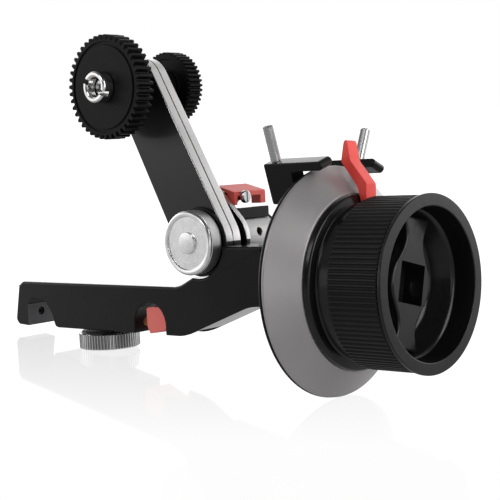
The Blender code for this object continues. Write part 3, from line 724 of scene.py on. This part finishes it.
def nose_edge(edge):
    """True on the long edges under the nose, which get a broad flat bevel."""
    first, second = (v.co for v in edge.verts)
    return (first.z < -1 and second.z < -1 and edge.calc_length() > 3
            and abs(first.y - second.y) < 0.01)


soften(latch, 1.1, 1, 60, nose_edge)
soften(latch, 0.25, 2, 40)
finish_piece(latch, "red_rod_latch", "rod_latch", LATCH_RED)

low, high = ends("latch_spring", "X")
spring = bmesh.new()
WIRE_R, COIL_R, COILS, TURN_STEPS = 0.35, 1.6, 8, 24
ring = bmesh.ops.create_circle(spring, segments=10, radius=WIRE_R)["verts"]
bmesh.ops.rotate(spring, cent=(0, 0, 0), matrix=Matrix.Rotation(pi / 2, 3, "X"), verts=ring)
bmesh.ops.translate(spring, vec=(COIL_R, 0, WIRE_R), verts=ring)
rise = (high - low - 2 * WIRE_R) / (COILS * TURN_STEPS)
bmesh.ops.spin(spring, geom=spring.verts[:] + spring.edges[:], cent=(0, 0, 0), axis=(0, 0, 1),
               dvec=(0, 0, rise), angle=2 * pi * COILS, steps=COILS * TURN_STEPS,
               use_duplicate=False)
bmesh.ops.holes_fill(spring, edges=spring.edges, sides=0)
bmesh.ops.recalc_face_normals(spring, faces=spring.faces)
bmesh.ops.transform(spring, matrix=Matrix.Translation((low, 0, SPRING_Z)) @ SPIN_TO["X"],
                    verts=spring.verts)
spring = finish_piece(spring, "latch_coil_spring", "latch_spring", SHAFT_STEEL)

# %% [markdown]
# ## The swing arm
#
# Two thin shells meet at a seam and hold a belt between them. Each is the shape of a strap wrapped
# round two discs, which Blender makes directly: two bars are placed and the hull of their points
# is taken. The faces are dyed black; the edge is bright above the pivot and black below it, so the
# shell is sliced level with the pivot and the sides change material.

# %% Strap shapes
def strap(foot_radius, head_radius, low, high, steps=72):
    """A strap between the arm's pivot and its spindle, across Y."""
    return wrapped("Y", ((PIVOT, foot_radius), (SPINDLE, head_radius)), low, high, steps)


def bright_sides(bm, level):
    """Gives the edge of a plate the second finish, above a level."""
    bmesh.ops.bisect_plane(bm, geom=bm.verts[:] + bm.edges[:] + bm.faces[:], dist=0.0001,
                           plane_co=(0, 0, level), plane_no=(0, 0, 1))
    for face in bm.faces:
        if abs(face.normal.y) < 0.95 and face.calc_center_median().z > level:
            face.material_index = 1


print("strap helpers ready")

# %% Arm shells and end plate
FOOT_R, HEAD_R, WALL, SKIN = 11.3, 10.3, 1.5, 1.3
PIVOT_BORE, SPINDLE_BORE = 3.6, 3.3
HUB, FACE = (PIVOT.x, 0, PIVOT.z), (SPINDLE.x, 0, SPINDLE.z)
for name, node, inward in (("arm_front_half", "arm_front_shell", 1),
                           ("arm_rear_half", "arm_rear_shell", -1)):
    low, high = ends(node, "Y")
    shell = strap(FOOT_R, HEAD_R, low, high)
    outer = low if inward > 0 else high
    soften(shell, 0.45, 3, 60, lambda edge: all(abs(v.co.y - outer) < 0.01 for v in edge.verts))
    soften(shell, 0.15, 1, 60, lambda edge: all(abs(v.co.y - outer) > 3 for v in edge.verts))
    span = sorted((outer + inward * SKIN, outer + inward * 6))
    hollow = strap(FOOT_R - WALL, HEAD_R - WALL, *span, steps=48)
    shell = carve(shell, hollow, bar("Y", HUB, PIVOT_BORE, -9, 9),
                  bar("Y", FACE, SPINDLE_BORE, -9, 9))
    bright_sides(shell, PIVOT.z)
    finish_piece(shell, name, node, (ARM_BLACK, EDGE_SILVER))

LOCK_REACH, LOCK_R = 12, 8
lock_end = PIVOT + (SPINDLE - PIVOT).normalized() * LOCK_REACH
plate = wrapped("Y", ((PIVOT, FOOT_R), (lock_end, LOCK_R)), *ends("arm_rear_plate", "Y"))
soften(plate, 0.3, 3, 60)
plate = carve(plate, bar("Y", HUB, PIVOT_BORE, 0, 12))
bright_sides(plate, PIVOT.z)
finish_piece(plate, "arm_lock_plate", "arm_rear_plate", (ARM_BLACK, EDGE_SILVER))

ring_piece("arm_gap_ring", "arm_spacer", "Y", HUB, (PIVOT_BORE, 9.6), (0.1, 0.1, 0.2, 0.2), BLACK)

# %% Belt and pulleys inside the arm
PULLEY_R, BELT_INSIDE, BELT_OUTSIDE = 6.4, 6.7, 8.0
low, high = ends("timing_belt", "Y")
belt = strap(BELT_OUTSIDE, BELT_OUTSIDE, low, high)
soften(belt, 0.3, 2, 60)
belt = carve(belt, strap(BELT_INSIDE, BELT_INSIDE, low - 1, high + 1))
finish_piece(belt, "inner_drive_belt", "timing_belt", BELT_BLACK)
for name, node, centre, hole_r in (("lower_belt_pulley", "drive_pulley", HUB, 3.5),
                                   ("upper_belt_pulley", "driven_pulley", FACE, 3.2)):
    ring_piece(name, node, "Y", centre, (hole_r, PULLEY_R), [0.2] * 4, SHAFT_STEEL)

# %% [markdown]
# ## The two gears
#
# A gear is one tooth repeated. The pen draws half a gap, a tooth and half a gap, and spin copies
# it round; joining the copies closes the outline. A ring groove is then turned into the front
# face, and the tips are broken so that each tooth catches a thread of light.

# %% Gears
def toothed_outline(teeth, module):
    """Gives a drawing function for a gear's outline, round the spindle."""
    pitch = teeth * module / 2
    step = 2 * pi / teeth
    root = pitch - 0.95 * module
    flank = ((-0.5, root), (-0.37, root), (-0.28, pitch), (-0.17, pitch + module),
             (0.17, pitch + module), (0.28, pitch), (0.37, root), (0.5, root))

    def drawing(bm):
        spots = [(r * cos(step * a), r * sin(step * a), 0) for a, r in flank]
        points = [bmesh.ops.create_vert(bm, co=spot)["vert"][0] for spot in spots]
        for first, second in zip(points, points[1:]):
            bm.edges.new((first, second))
        bmesh.ops.spin(bm, geom=bm.verts[:] + bm.edges[:], cent=(0, 0, 0), axis=(0, 0, 1),
                       angle=2 * pi, steps=teeth, use_duplicate=True)
        bmesh.ops.remove_doubles(bm, verts=bm.verts, dist=0.01)
        bmesh.ops.translate(bm, vec=(SPINDLE.x, SPINDLE.z, 0), verts=bm.verts)

    return drawing


def spindle_bore(bm):
    """Draws the hole for the spindle."""
    bmesh.ops.create_circle(bm, segments=64, radius=SPINDLE_BORE,
                            matrix=Matrix.Translation((SPINDLE.x, SPINDLE.z, 0)))


def gear_piece(name, node, teeth, module, grooves, tip_break):
    """A gear; each groove is its two radii, side (0 front, 1 back), depth and corner size."""
    faces = ends(node, "Y")
    gear = mill("Y", *faces, toothed_outline(teeth, module), spindle_bore)
    for first, second, side, depth, corner in grooves:
        inward = -1 if side else 1
        floor, outside = faces[side] + depth * inward, faces[side] - inward
        groove = [(first, outside), (first, floor, corner), (second, floor, corner),
                  (second, outside)]
        gear = carve(gear, lathe("Y", FACE, groove))
    soften(gear, tip_break, 1, 50)
    finish_piece(gear, name, node, GEAR_BLACK)


gear_piece("focus_drive_gear", "front_gear", 43, 0.8,
           ((14.5, 15.5, 0, 0.5, 0.12), (14.4, 7.5, 1, 0.8, 0.4)), 0.1)
gear_piece("second_drive_gear", "back_gear", 44, 0.55,
           ((10.2, 6.8, 0, 0.5, 0.2), (10.2, 6.8, 1, 0.5, 0.2)), 0.08)

# %% [markdown]
# ## Spindle, bosses and the split nut
#
# The gears sit on one steel spindle. A bright nut with a slot right across it holds the front
# gear, and a plain nut holds the back one. All are lathe work with one cut for the slot.

# %% Spindle, bosses and nuts
low, high = ends("spindle", "Y")
axle = lathe("Y", FACE, [(0, low), (3.0, low, 0.4), (3.0, high, 0.4), (0, high)], 48)
axle = carve(axle, bar("Y", FACE, 1.5, low - 1, low + 2.5, 6))
finish_piece(axle, "gear_axle", "spindle", SHAFT_STEEL)
for side in ("front", "back"):
    ring_piece(side + "_gear_hub", side + "_gear_boss", "Y", FACE, (SPINDLE_BORE, 6.2),
               (0.1, 0.1, 0.3, 0.3), BLACK)

NUT_R, SLOT_HALF, SLOT_TURN = 5.4, 0.85, radians(30)
low, high = ends("split_collet", "Y")
nut = [(SPINDLE_BORE, high, 0.1), (NUT_R, high, 0.1), (NUT_R, low + 0.5, 0.3), (4.9, low, 0.2),
       (3.9, low, 0.3), (SPINDLE_BORE, low + 0.6, 0.2)]
nut = lathe("Y", FACE, nut)
slot = block((-7, low - 1, -SLOT_HALF), (7, low + 2.6, SLOT_HALF))
bmesh.ops.rotate(slot, cent=(0, 0, 0), matrix=Matrix.Rotation(SLOT_TURN, 3, "Y"),
                 verts=slot.verts)
bmesh.ops.translate(slot, vec=FACE, verts=slot.verts)
nut = carve(nut, slot)
soften(nut, 0.1, 2, 60)
finish_piece(nut, "slotted_gear_nut", "split_collet", COLLET_SILVER)
ring_piece("back_gear_nut", "collet_nut", "Y", FACE, (SPINDLE_BORE, NUT_R), (0.1, 0.2, 0.4, 0.2),
           COLLET_SILVER)

# %% [markdown]
# ## Arm lock knob and pivot
#
# The knob's face is turned in steps: a raised rim, a sunk ring and a button in the middle. Each
# step is a corner in the spun profile, and small corner sizes give the bright lines between
# them. Behind it the barrel is a plain tube with one cross hole for a tommy bar.

# %% Lock knob and washer
low, high = ends("lock_knob", "Y")
KNOB_R = 10.95
profile = [(0, low), (3.7, low, 0.25), (3.7, low + 0.75, 0.12), (8.9, low + 0.75, 0.12),
           (9.15, low + 0.25, 0.08), (10.3, low + 0.1, 0.3), (KNOB_R, low + 0.9, 0.2),
           (KNOB_R, low + 1.15), (10.78, low + 1.3), (KNOB_R, low + 1.45),
           (KNOB_R, high - 0.3, 0.2), (10.6, high, 0.2), (1.8, high, 0.1), (1.8, low + 2),
           (0, low + 2)]
knob = lathe("Y", HUB, profile, 128)
for face in knob.faces:
    on_side = abs(face.normal.y) < 0.3 and face.calc_center_median().y > low + 1.4
    face.material_index = int(on_side)
finish_piece(knob, "arm_lock_knob", "lock_knob", (KNOB_SILVER, KNOB_SIDE))

ring_piece("knob_washer", "lock_washer", "Y", HUB, (PIVOT_BORE, 11.9), (0.1, 0.1, 0.15, 0.3),
           BLACK, 128)
pin_piece("knob_stud", "lock_stud", "Y", HUB, 1.5, 0.2, SHAFT_STEEL, 32)

# %% Pivot barrel, cap, cross shaft and its gear
BARREL_R, BARREL_WALL_R, BARREL_FLOOR, BARREL_BORE = 8.5, 6.9, 21.2, 1.8
low, high = ends("pivot_barrel", "Y")
profile = [(BARREL_R, high, 0.3), (BARREL_R, low, 0.3), (BARREL_WALL_R, low, 0.2),
           (BARREL_WALL_R, BARREL_FLOOR, 0.2), (BARREL_BORE, BARREL_FLOOR, 0.2),
           (BARREL_BORE, high, 0.2)]
barrel = lathe("Y", HUB, profile, 128)
gear_window = block((47, 12.1, 18), (61.2, 21.0, 26))
tommy_hole = bar("X", (0, 17.8, 31), 1.4, 57, 64)
barrel = carve(barrel, gear_window, tommy_hole)
soften(barrel, 0.15, 2, 50)
finish_piece(barrel, "pivot_tube", "pivot_barrel", BARREL_SILVER)

low, high = ends("barrel_cap", "Y")
profile = [(0, low), (BARREL_R, low, 0.2), (BARREL_R, high, 0.5), (2.4, high, 0.2),
           (2.4, high - 0.8), (0, high - 0.8)]
finish_piece(lathe("Y", HUB, profile), "pivot_end_cap", "barrel_cap", BLACK)
ring_piece("hollow_cross_shaft", "cross_shaft", "Y", HUB, (1.9, 3.2), (0.1, 0.1, 0.2, 0.2),
           SHAFT_STEEL, 48)

for name, node, axis, bore_r, metal in (
        ("cross_helical_gear", "cross_gear", "Y", 3.5, BRONZE),
        ("lay_helical_gear", "lay_gear", "X", 2.3, SHAFT_STEEL),
        ("wheel_spur_pinion", "wheel_pinion", "X", 3.3, BRONZE),
        ("lay_spur_pinion", "lay_pinion", "X", 2.3, BRONZE)):
    low, high = box_mm(node)
    middle, tip_r = (low + high) / 2, (high - low).z / 2
    middle[AXES.index(axis)] = 0
    start, end = ends(node, axis)
    blank = ribbed_bar(axis, middle, tip_r, tip_r - 0.45, start, end, 24, 0.3)
    blank = carve(blank, bar(axis, middle, bore_r, start - 1, end + 1, 32))
    finish_piece(blank, name, node, (metal, metal))

# %% [markdown]
# ## Release lever
#
# A black block carries a slotted pin, and a red lever rocks on it. The lever's lip is notched
# round the pin's bright head. The pieces are milled from outlines, with two legs joined on.

# %% Lever block
LEVER_PIN = (0, 14.5, 43.3)
carrier = block((48, 10, 34), (60, 26.2, 39.6))
carrier = join(carrier, block((49.5, 12, 39), (52.3, 17, 45.2)))
carrier = carve(carrier, bar("Y", HUB, 8.8, 8, 28, 96), bar("X", LEVER_PIN, 1.5, 48, 54, 32))
soften(carrier, 0.35, 3, 60)
finish_piece(carrier, "lever_carrier", "lever_block", BLACK)

# %% Red lever and its pin
side = [(49.5, 47.7, 0.5), (58.6, 45.2, 0.4), (58.6, 43.5, 0.2), (57.6, 43.4, 0.2),
        (53, 45.7, 0.5), (49.5, 46.5, 0.2)]
lever = mill("Y", *ends("release_lever", "Y"), side)
near_leg = block((54.2, 9.9, 40.6), (58.6, 11.4, 44.2))
far_leg = block((54.2, 23.4, 40.6), (58.6, 26.3, 44.2))
for part in (near_leg, far_leg, bar("X", LEVER_PIN, 2.1, 52.8, 55.2, 32)):
    lever = join(lever, part)
lever = carve(lever, bar("X", LEVER_PIN, 1.6, 50, 60, 32))
soften(lever, 0.22, 2, 50)
finish_piece(lever, "red_release_lever", "release_lever", LEVER_RED)

low, high = ends("lever_pin", "X")
profile = [(0, high), (2.2, high, 0.5), (2.2, 58.9, 0.1), (1.2, 58.9), (1.2, low, 0.2), (0, low)]
pin = lathe("X", LEVER_PIN, profile, 48)
pin = carve(pin, block((high - 0.7, 14.1, 40), (high + 1, 14.9, 47)))
finish_piece(pin, "slotted_lever_pin", "lever_pin", SHAFT_STEEL)

# %% [markdown]
# ## Housings and shafts
#
# Two black housings carry the drive from the hand wheel to the pivot: a block beside the
# barrel, and a thin case behind the marking disc with a pair of spur gears inside.

# %% Rear housing and gear case
LAY_AXIS = (0, joint_mm("lay_shaft_turn").y, joint_mm("lay_shaft_turn").z)
CENTRE = (0, WHEEL.y, WHEEL.z)
housing = block(*box_mm("rear_housing"))
soften(housing, 1.0, 4, 60)
housing = carve(housing, bar("Y", HUB, CRADLE_R, 6, 9.8, 96), bar("Y", HUB, 8.8, 9, 27, 96),
                bar("X", LAY_AXIS, 6.9, 49.6, 58.6, 64), bar("X", LAY_AXIS, 2.4, 47.2, 90, 32))
finish_piece(housing, "rear_gear_housing", "rear_housing", BLACK)


def egg(wheel_radius, lay_radius, low, high):
    """A case outline wrapped round the wheel's shaft and the lay shaft, across X."""
    return wrapped("X", ((CENTRE, wheel_radius), (LAY_AXIS, lay_radius)), low, high)


low, high = ends("gear_case", "X")
case = egg(12, 8.6, low, high)
soften(case, 0.6, 3, 60)
case = carve(case, egg(9.5, 6.2, low - 1, 95.5), bar("X", CENTRE, 6.3, low, high + 1, 64))
finish_piece(case, "spur_gear_case", "gear_case", BLACK)

low, high = ends("gear_case_cover", "X")
cover = egg(12, 8.6, low, high)
soften(cover, 0.5, 3, 60)
cover = carve(cover, bar("X", CENTRE, 3.3, low - 1, high + 1),
              bar("X", LAY_AXIS, 2.4, low - 1, high + 1))
finish_piece(cover, "spur_gear_cover", "gear_case_cover", BLACK)

# %% Shafts and bearing
for name, node, axis_at in (("hand_wheel_axle", "wheel_shaft", CENTRE),
                            ("lay_axle", "lay_shaft", LAY_AXIS)):
    bottom, top = ends(node, "Z")
    pin_piece(name, node, "X", axis_at, (top - bottom) / 2, 0.3, SHAFT_STEEL)
ring_piece("axle_bush", "wheel_bearing", "X", CENTRE, (3.3, 6), (0.1, 0.1, 0.2, 0.2), BRONZE, 64)

# %% [markdown]
# ## Marking disc
#
# Behind the hand wheel a pale cone faces the person who turns it, so that focus marks can be
# pencilled on. Behind it are its black backing plate and the round carrier of the two stops.

# %% Stop carrier, backing plate and marking ring
DISC_R, RING_R = 37, 36.9


def disc_piece(profile, name, node, surface, steps=160):
    """A closed profile turned round the hand wheel's axis."""
    finish_piece(lathe("X", CENTRE, profile, steps), name, node, surface)


low, high = ends("stop_carrier", "X")
profile = [(27, high, 0.2), (27, low, 0.5), (22, low, 0.3), (22, low + 2.2, 0.3),
           (4, low + 2.2), (4, high)]
disc_piece(profile, "stop_track", "stop_carrier", BLACK, steps=128)
low, high = ends("disc_backing", "X")
profile = [(DISC_R, high, 0.15), (DISC_R, high - 0.8, 0.4), (33.5, low, 0.5), (4, low), (4, high)]
disc_piece(profile, "disc_back_plate", "disc_backing", BLACK)
low, high = ends("marking_ring", "X")
profile = [(28.4, high, 0.2), (RING_R, low + 0.7, 0.25), (RING_R, low, 0.1), (9, low), (9, high)]
disc_piece(profile, "frosted_marking_ring", "marking_ring", FROSTED)

# %% [markdown]
# ## Hand wheel
#
# The wheel is a hollow drum. Its collar carries the pointer, fine ribs run along the grip, and
# the open front shows a cone-shaped wall, a round boss with a square socket for a crank, and two
# webs with narrow waists. The drum is spun; the boss and webs are milled and joined.

# %% Collar, drum and ribbed grip
AXLE_BORE, RIM_R, DRUM_R, FLOOR_X = 3.3, 27.5, 25.2, 127
low, high = ends("wheel_flange", "X")
profile = [(AXLE_BORE, low), (28.1, low, 0.3), (27.7, low + 1.7, 0.6), (24.8, low + 2.5, 0.5),
           (24.6, high), (AXLE_BORE, high)]
disc_piece(profile, "wheel_collar", "wheel_flange", WHEEL_BLACK)
low, high = ends("wheel_body", "X")
profile = [(RIM_R, high, 0.3), (RIM_R, 140.7, 0.3), (DRUM_R, 140.6), (DRUM_R, low, 0.2),
           (AXLE_BORE, low), (AXLE_BORE, FLOOR_X), (18.5, FLOOR_X, 1.5), (22.4, 134.2, 0.8),
           (23.2, 134.5, 0.35), (23.6, high, 0.35)]
disc_piece(profile, "wheel_drum", "wheel_body", WHEEL_BLACK)

GRIP_RIBS, GROOVE_R = 102, 26.45
low, high = box_mm("grip_sleeve")
grip = ribbed_bar("X", CENTRE, high.z - WHEEL.z, GROOVE_R, low.x, high.x, GRIP_RIBS, 0.45)
grip = carve(grip, bar("X", CENTRE, 25.5, low.x - 1, high.x + 1, 128))
finish_piece(grip, "ribbed_grip", "grip_sleeve", (GRIP_BLACK, GROOVE_SHADE_BLACK))

# %% Socket boss and webs
SOCKET_TILT, SOCKET_HALF = radians(14), 6.3
low, high = ends("socket_boss", "X")


def tilted(bm):
    """Turns a shape about the wheel's axis to the socket's angle."""
    bmesh.ops.rotate(bm, cent=CENTRE, matrix=Matrix.Rotation(-SOCKET_TILT, 3, "X"), verts=bm.verts)
    return bm


boss = lathe("X", CENTRE, [(0, low), (12.5, low), (10.6, low + 2.5, 1.5), (10.2, high),
                           (0, high)])
waist = [(-8.6, 5.5), (-4.1, 12.6, 3.0), (-6.4, 20.5), (6.4, 20.5), (4.1, 12.6, 3.0), (8.6, 5.5)]
for flip in (1, -1):
    drawn = [(y + WHEEL.y, z * flip + WHEEL.z, *corner) for y, z, *corner in waist]
    boss = join(boss, tilted(mill("X", low, high, drawn)))
soften(boss, 0.9, 4, 50, lambda edge: all(v.co.x > high - 0.01 for v in edge.verts))
corners = [(side * SOCKET_HALF + WHEEL.y, rise * SOCKET_HALF + WHEEL.z, 0.5)
           for side, rise in ((1, 1), (-1, 1), (-1, -1), (1, -1))]
boss = carve(boss, tilted(mill("X", low - 1, high + 1, corners)))
finish_piece(boss, "crank_socket_boss", "socket_boss", WHEEL_BLACK)

# %% [markdown]
# ## Pointer and hard stops
#
# A red pointer on the collar slopes over the marking ring. Two black stops reach over the rim
# on either side of it, each locked by a knurled screw that leans outward. All are drawn upright
# over the axis and then turned about it to their angles.

# %% Pointer
def lean_angle(side):
    """The angle of a stop's screw from straight up, toward +Y."""
    axis = Vector(JOINT["stop_screw_" + side + "_turn"]["axis"])
    return atan2(axis.y, axis.z)


POINTER_ANGLE = (lean_angle("left") + lean_angle("right")) / 2


def lean(bm, angle):
    """Moves an upright shape onto the wheel's axis and turns it to its angle."""
    place = Matrix.Translation(CENTRE) @ Matrix.Rotation(-angle, 4, "X")
    bmesh.ops.transform(bm, matrix=place, verts=bm.verts)
    return bm


side = [(116.9, 25.3), (119.1, 25.3), (119.1, 31.0, 0.35), (112.9, 38.3, 0.5), (111.7, 44.2, 0.5),
        (110.9, 44.9, 0.4), (110.2, 43.9, 0.3), (109.2, 38.0, 0.8), (115.4, 30.2, 0.5)]
pointer = mill("Y", -2.6, 2.6, side)
soften(pointer, 0.22, 2, 60)
finish_piece(lean(pointer, POINTER_ANGLE), "red_pointer", "pointer", RED)

# %% Hard stops and their screws
HEAD_Z, KNURL_LENGTH, KNURL_ROWS, KNURL_SIDES = 41.3, 11.1, 24, 20
for side, screw_x, foot in (("left", 92.4, 34), ("right", 103.7, 37.4)):
    angle = lean_angle(side)
    shape = [(89.2, 27.4, 0.8), (100, 27.4), (100, 38, 0.8), (112.4, 38, 1.45),
             (112.4, 41, 1.45), (89.2, 41, 0.6)]
    stop = mill("Y", -3, 3, shape)
    soften(stop, 0.45, 3, 60)
    stop = carve(stop, bar("Z", (screw_x, 0, 0), 1.3, foot - 0.3, 42, 32))
    finish_piece(lean(stop, angle), "rim_stop_" + side, "hard_stop_" + side, BLACK)

    profile = [(0, foot), (1.0, foot, 0.2), (1.0, HEAD_Z)]
    profile += [(1.4, HEAD_Z + i * KNURL_LENGTH / KNURL_ROWS) for i in range(KNURL_ROWS + 1)]
    profile += [(1.1, 52.8), (0, 52.8)]
    screw = lathe("Z", (screw_x, 0, 0), profile, KNURL_SIDES)
    knurl = [v for v in screw.verts if 1.35 < Vector((v.co.x - screw_x, v.co.y)).length < 1.5]
    for vertex in knurl:
        around = round(atan2(vertex.co.y, vertex.co.x - screw_x) / (2 * pi / KNURL_SIDES))
        up = round((vertex.co.z - HEAD_Z) * KNURL_ROWS / KNURL_LENGTH)
        if (around + up) % 2:
            bmesh.ops.scale(screw, vec=(1.22, 1.22, 1), verts=[vertex],
                            space=Matrix.Translation((-screw_x, 0, 0)))
    finish_piece(lean(screw, angle), "knurled_stop_screw_" + side, "stop_screw_" + side,
                 SCREW_STEEL, crease=8)

# %% [markdown]
# ## The latch spring's own mesh
#
# The spring is given a mesh of its own.

# %% Give the spring its own mesh
low, high = ends("latch_spring", "X")
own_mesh(spring)

# %% [markdown]
# ## Table and light
#
# The device rests on its thumb wheel and on the rim of its disc, so the table tilts to touch
# both. A white sheet that glows a little stays clean white, and a thin gloss on it gives the
# pale reflection.

# %% Table
rest_left = Vector((THUMB.x, 0, ends("thumb_wheel", "Z")[0]))
rest_right = Vector((ends("disc_backing", "X")[1], 0, WHEEL.z - DISC_R))
slope = atan2(rest_left.z - rest_right.z, rest_right.x - rest_left.x)
table = bmesh.new()
bmesh.ops.create_grid(table, x_segments=2, y_segments=2, size=3)
bmesh.ops.rotate(table, cent=(0, 0, 0), matrix=Matrix.Rotation(slope, 3, "Y"), verts=table.verts)
bmesh.ops.translate(table, vec=rest_left * MM + Vector((0, 0, -0.0002)), verts=table.verts)
table_mesh = bpy.data.meshes.new("table")
table.to_mesh(table_mesh)
table.free()
table = show(bpy.data.objects.new("table", table_mesh))
finish, tree, shader = start_finish("white_table", (0.9, 0.9, 0.9), 0.6)
seen = wire(tree, "LightPath").outputs["Is Camera Ray"]
dimmed = wire(tree, "MapRange", {"Value": seen, "To Min": 0.45, "To Max": 1.0}).outputs[0]
glow = wire(tree, "Emission", {"Color": (1, 1, 1, 1), "Strength": dimmed})
gloss = wire(tree, "BsdfGlossy", {"Color": (1, 1, 1, 1), "Roughness": 0.06})
near = wire(tree, "VectorMath", {0: wire(tree, "TexCoord").outputs["Object"],
                                 1: Vector((back.x, back.y, 0)).normalized()},
            operation="DOT_PRODUCT")
fade = wire(tree, "MapRange", {"Value": near.outputs["Value"], "From Min": -0.03,
                               "From Max": 0.12, "To Min": 0.28, "To Max": 0.02})
mix = wire(tree, "MixShader", {0: fade.outputs[0], 1: glow.outputs[0], 2: gloss.outputs[0]})
tree.links.new(mix.outputs[0], tree.nodes["Material Output"].inputs["Surface"])
table_mesh.materials.append(finish)
print("table slopes", round(degrees(slope), 1), "degrees")

# %% World and lamps
world = bpy.data.worlds.new("studio")
bpy.context.scene.world = world
world.use_nodes = True
tree = world.node_tree
sky = tree.nodes["Background"]
way = wire(tree, "TexCoord").outputs["Generated"]
behind = Vector((-back.x, -back.y, 0)).normalized()
facing = wire(tree, "VectorMath", {0: way, 1: behind}, operation="DOT_PRODUCT")
ramp = wire(tree, "ValToRGB", {"Fac": wire(tree, "MapRange", {
    "Value": facing.outputs["Value"], "From Min": -1, "From Max": 1}).outputs[0]})
ramp.color_ramp.elements[0].position = 0.35
ramp.color_ramp.elements[0].color = (0.06, 0.06, 0.06, 1)
ramp.color_ramp.elements[1].position = 0.72
ramp.color_ramp.elements[1].color = (1.9, 1.9, 1.9, 1)
height = wire(tree, "SeparateXYZ", {0: way}).outputs["Z"]
dusk = wire(tree, "MapRange", {"Value": height, "From Min": 0.25, "From Max": 0.85,
                               "To Min": 1.0, "To Max": 0.1})
sky_light = wire(tree, "VectorMath", {0: ramp.outputs[0], 1: dusk.outputs[0]},
                 operation="MULTIPLY")
seen = wire(tree, "LightPath").outputs["Is Camera Ray"]
shown = wire(tree, "MixRGB", {0: seen, 1: sky_light.outputs[0], 2: (1, 1, 1, 1)})
tree.links.new(shown.outputs[0], sky.inputs["Color"])
sky.inputs["Strength"].default_value = 1.0


def softbox(name, radiance, size, spot, target):
    """A large soft lamp of a given brightness at a spot, facing a target, in metres."""
    light = bpy.data.lights.new(name, "AREA")
    light.shape = "RECTANGLE"
    light.size, light.size_y = size
    light.energy = radiance * pi * size[0] * size[1]
    lamp = show(bpy.data.objects.new(name, light))
    lamp.location = spot
    lamp.rotation_euler = (Vector(target) - Vector(spot)).to_track_quat("-Z", "Y").to_euler()


softbox("front_left", 0.78, (0.7, 0.6), (-0.55, -0.62, 0.05), (0.05, 0, 0.04))
softbox("right", 4.0, (0.5, 0.6), (0.85, 0.05, 0.30), (0.08, 0, 0.03))
softbox("beside_camera", 1.1, (0.35, 0.35), (0.75, -0.50, 0.06), (0.1, 0, 0.02))
softbox("key", 4.0, (0.45, 0.35), (0.10, -0.70, 0.62), (0.08, 0, 0.03))
print("four lamps and a bright background")
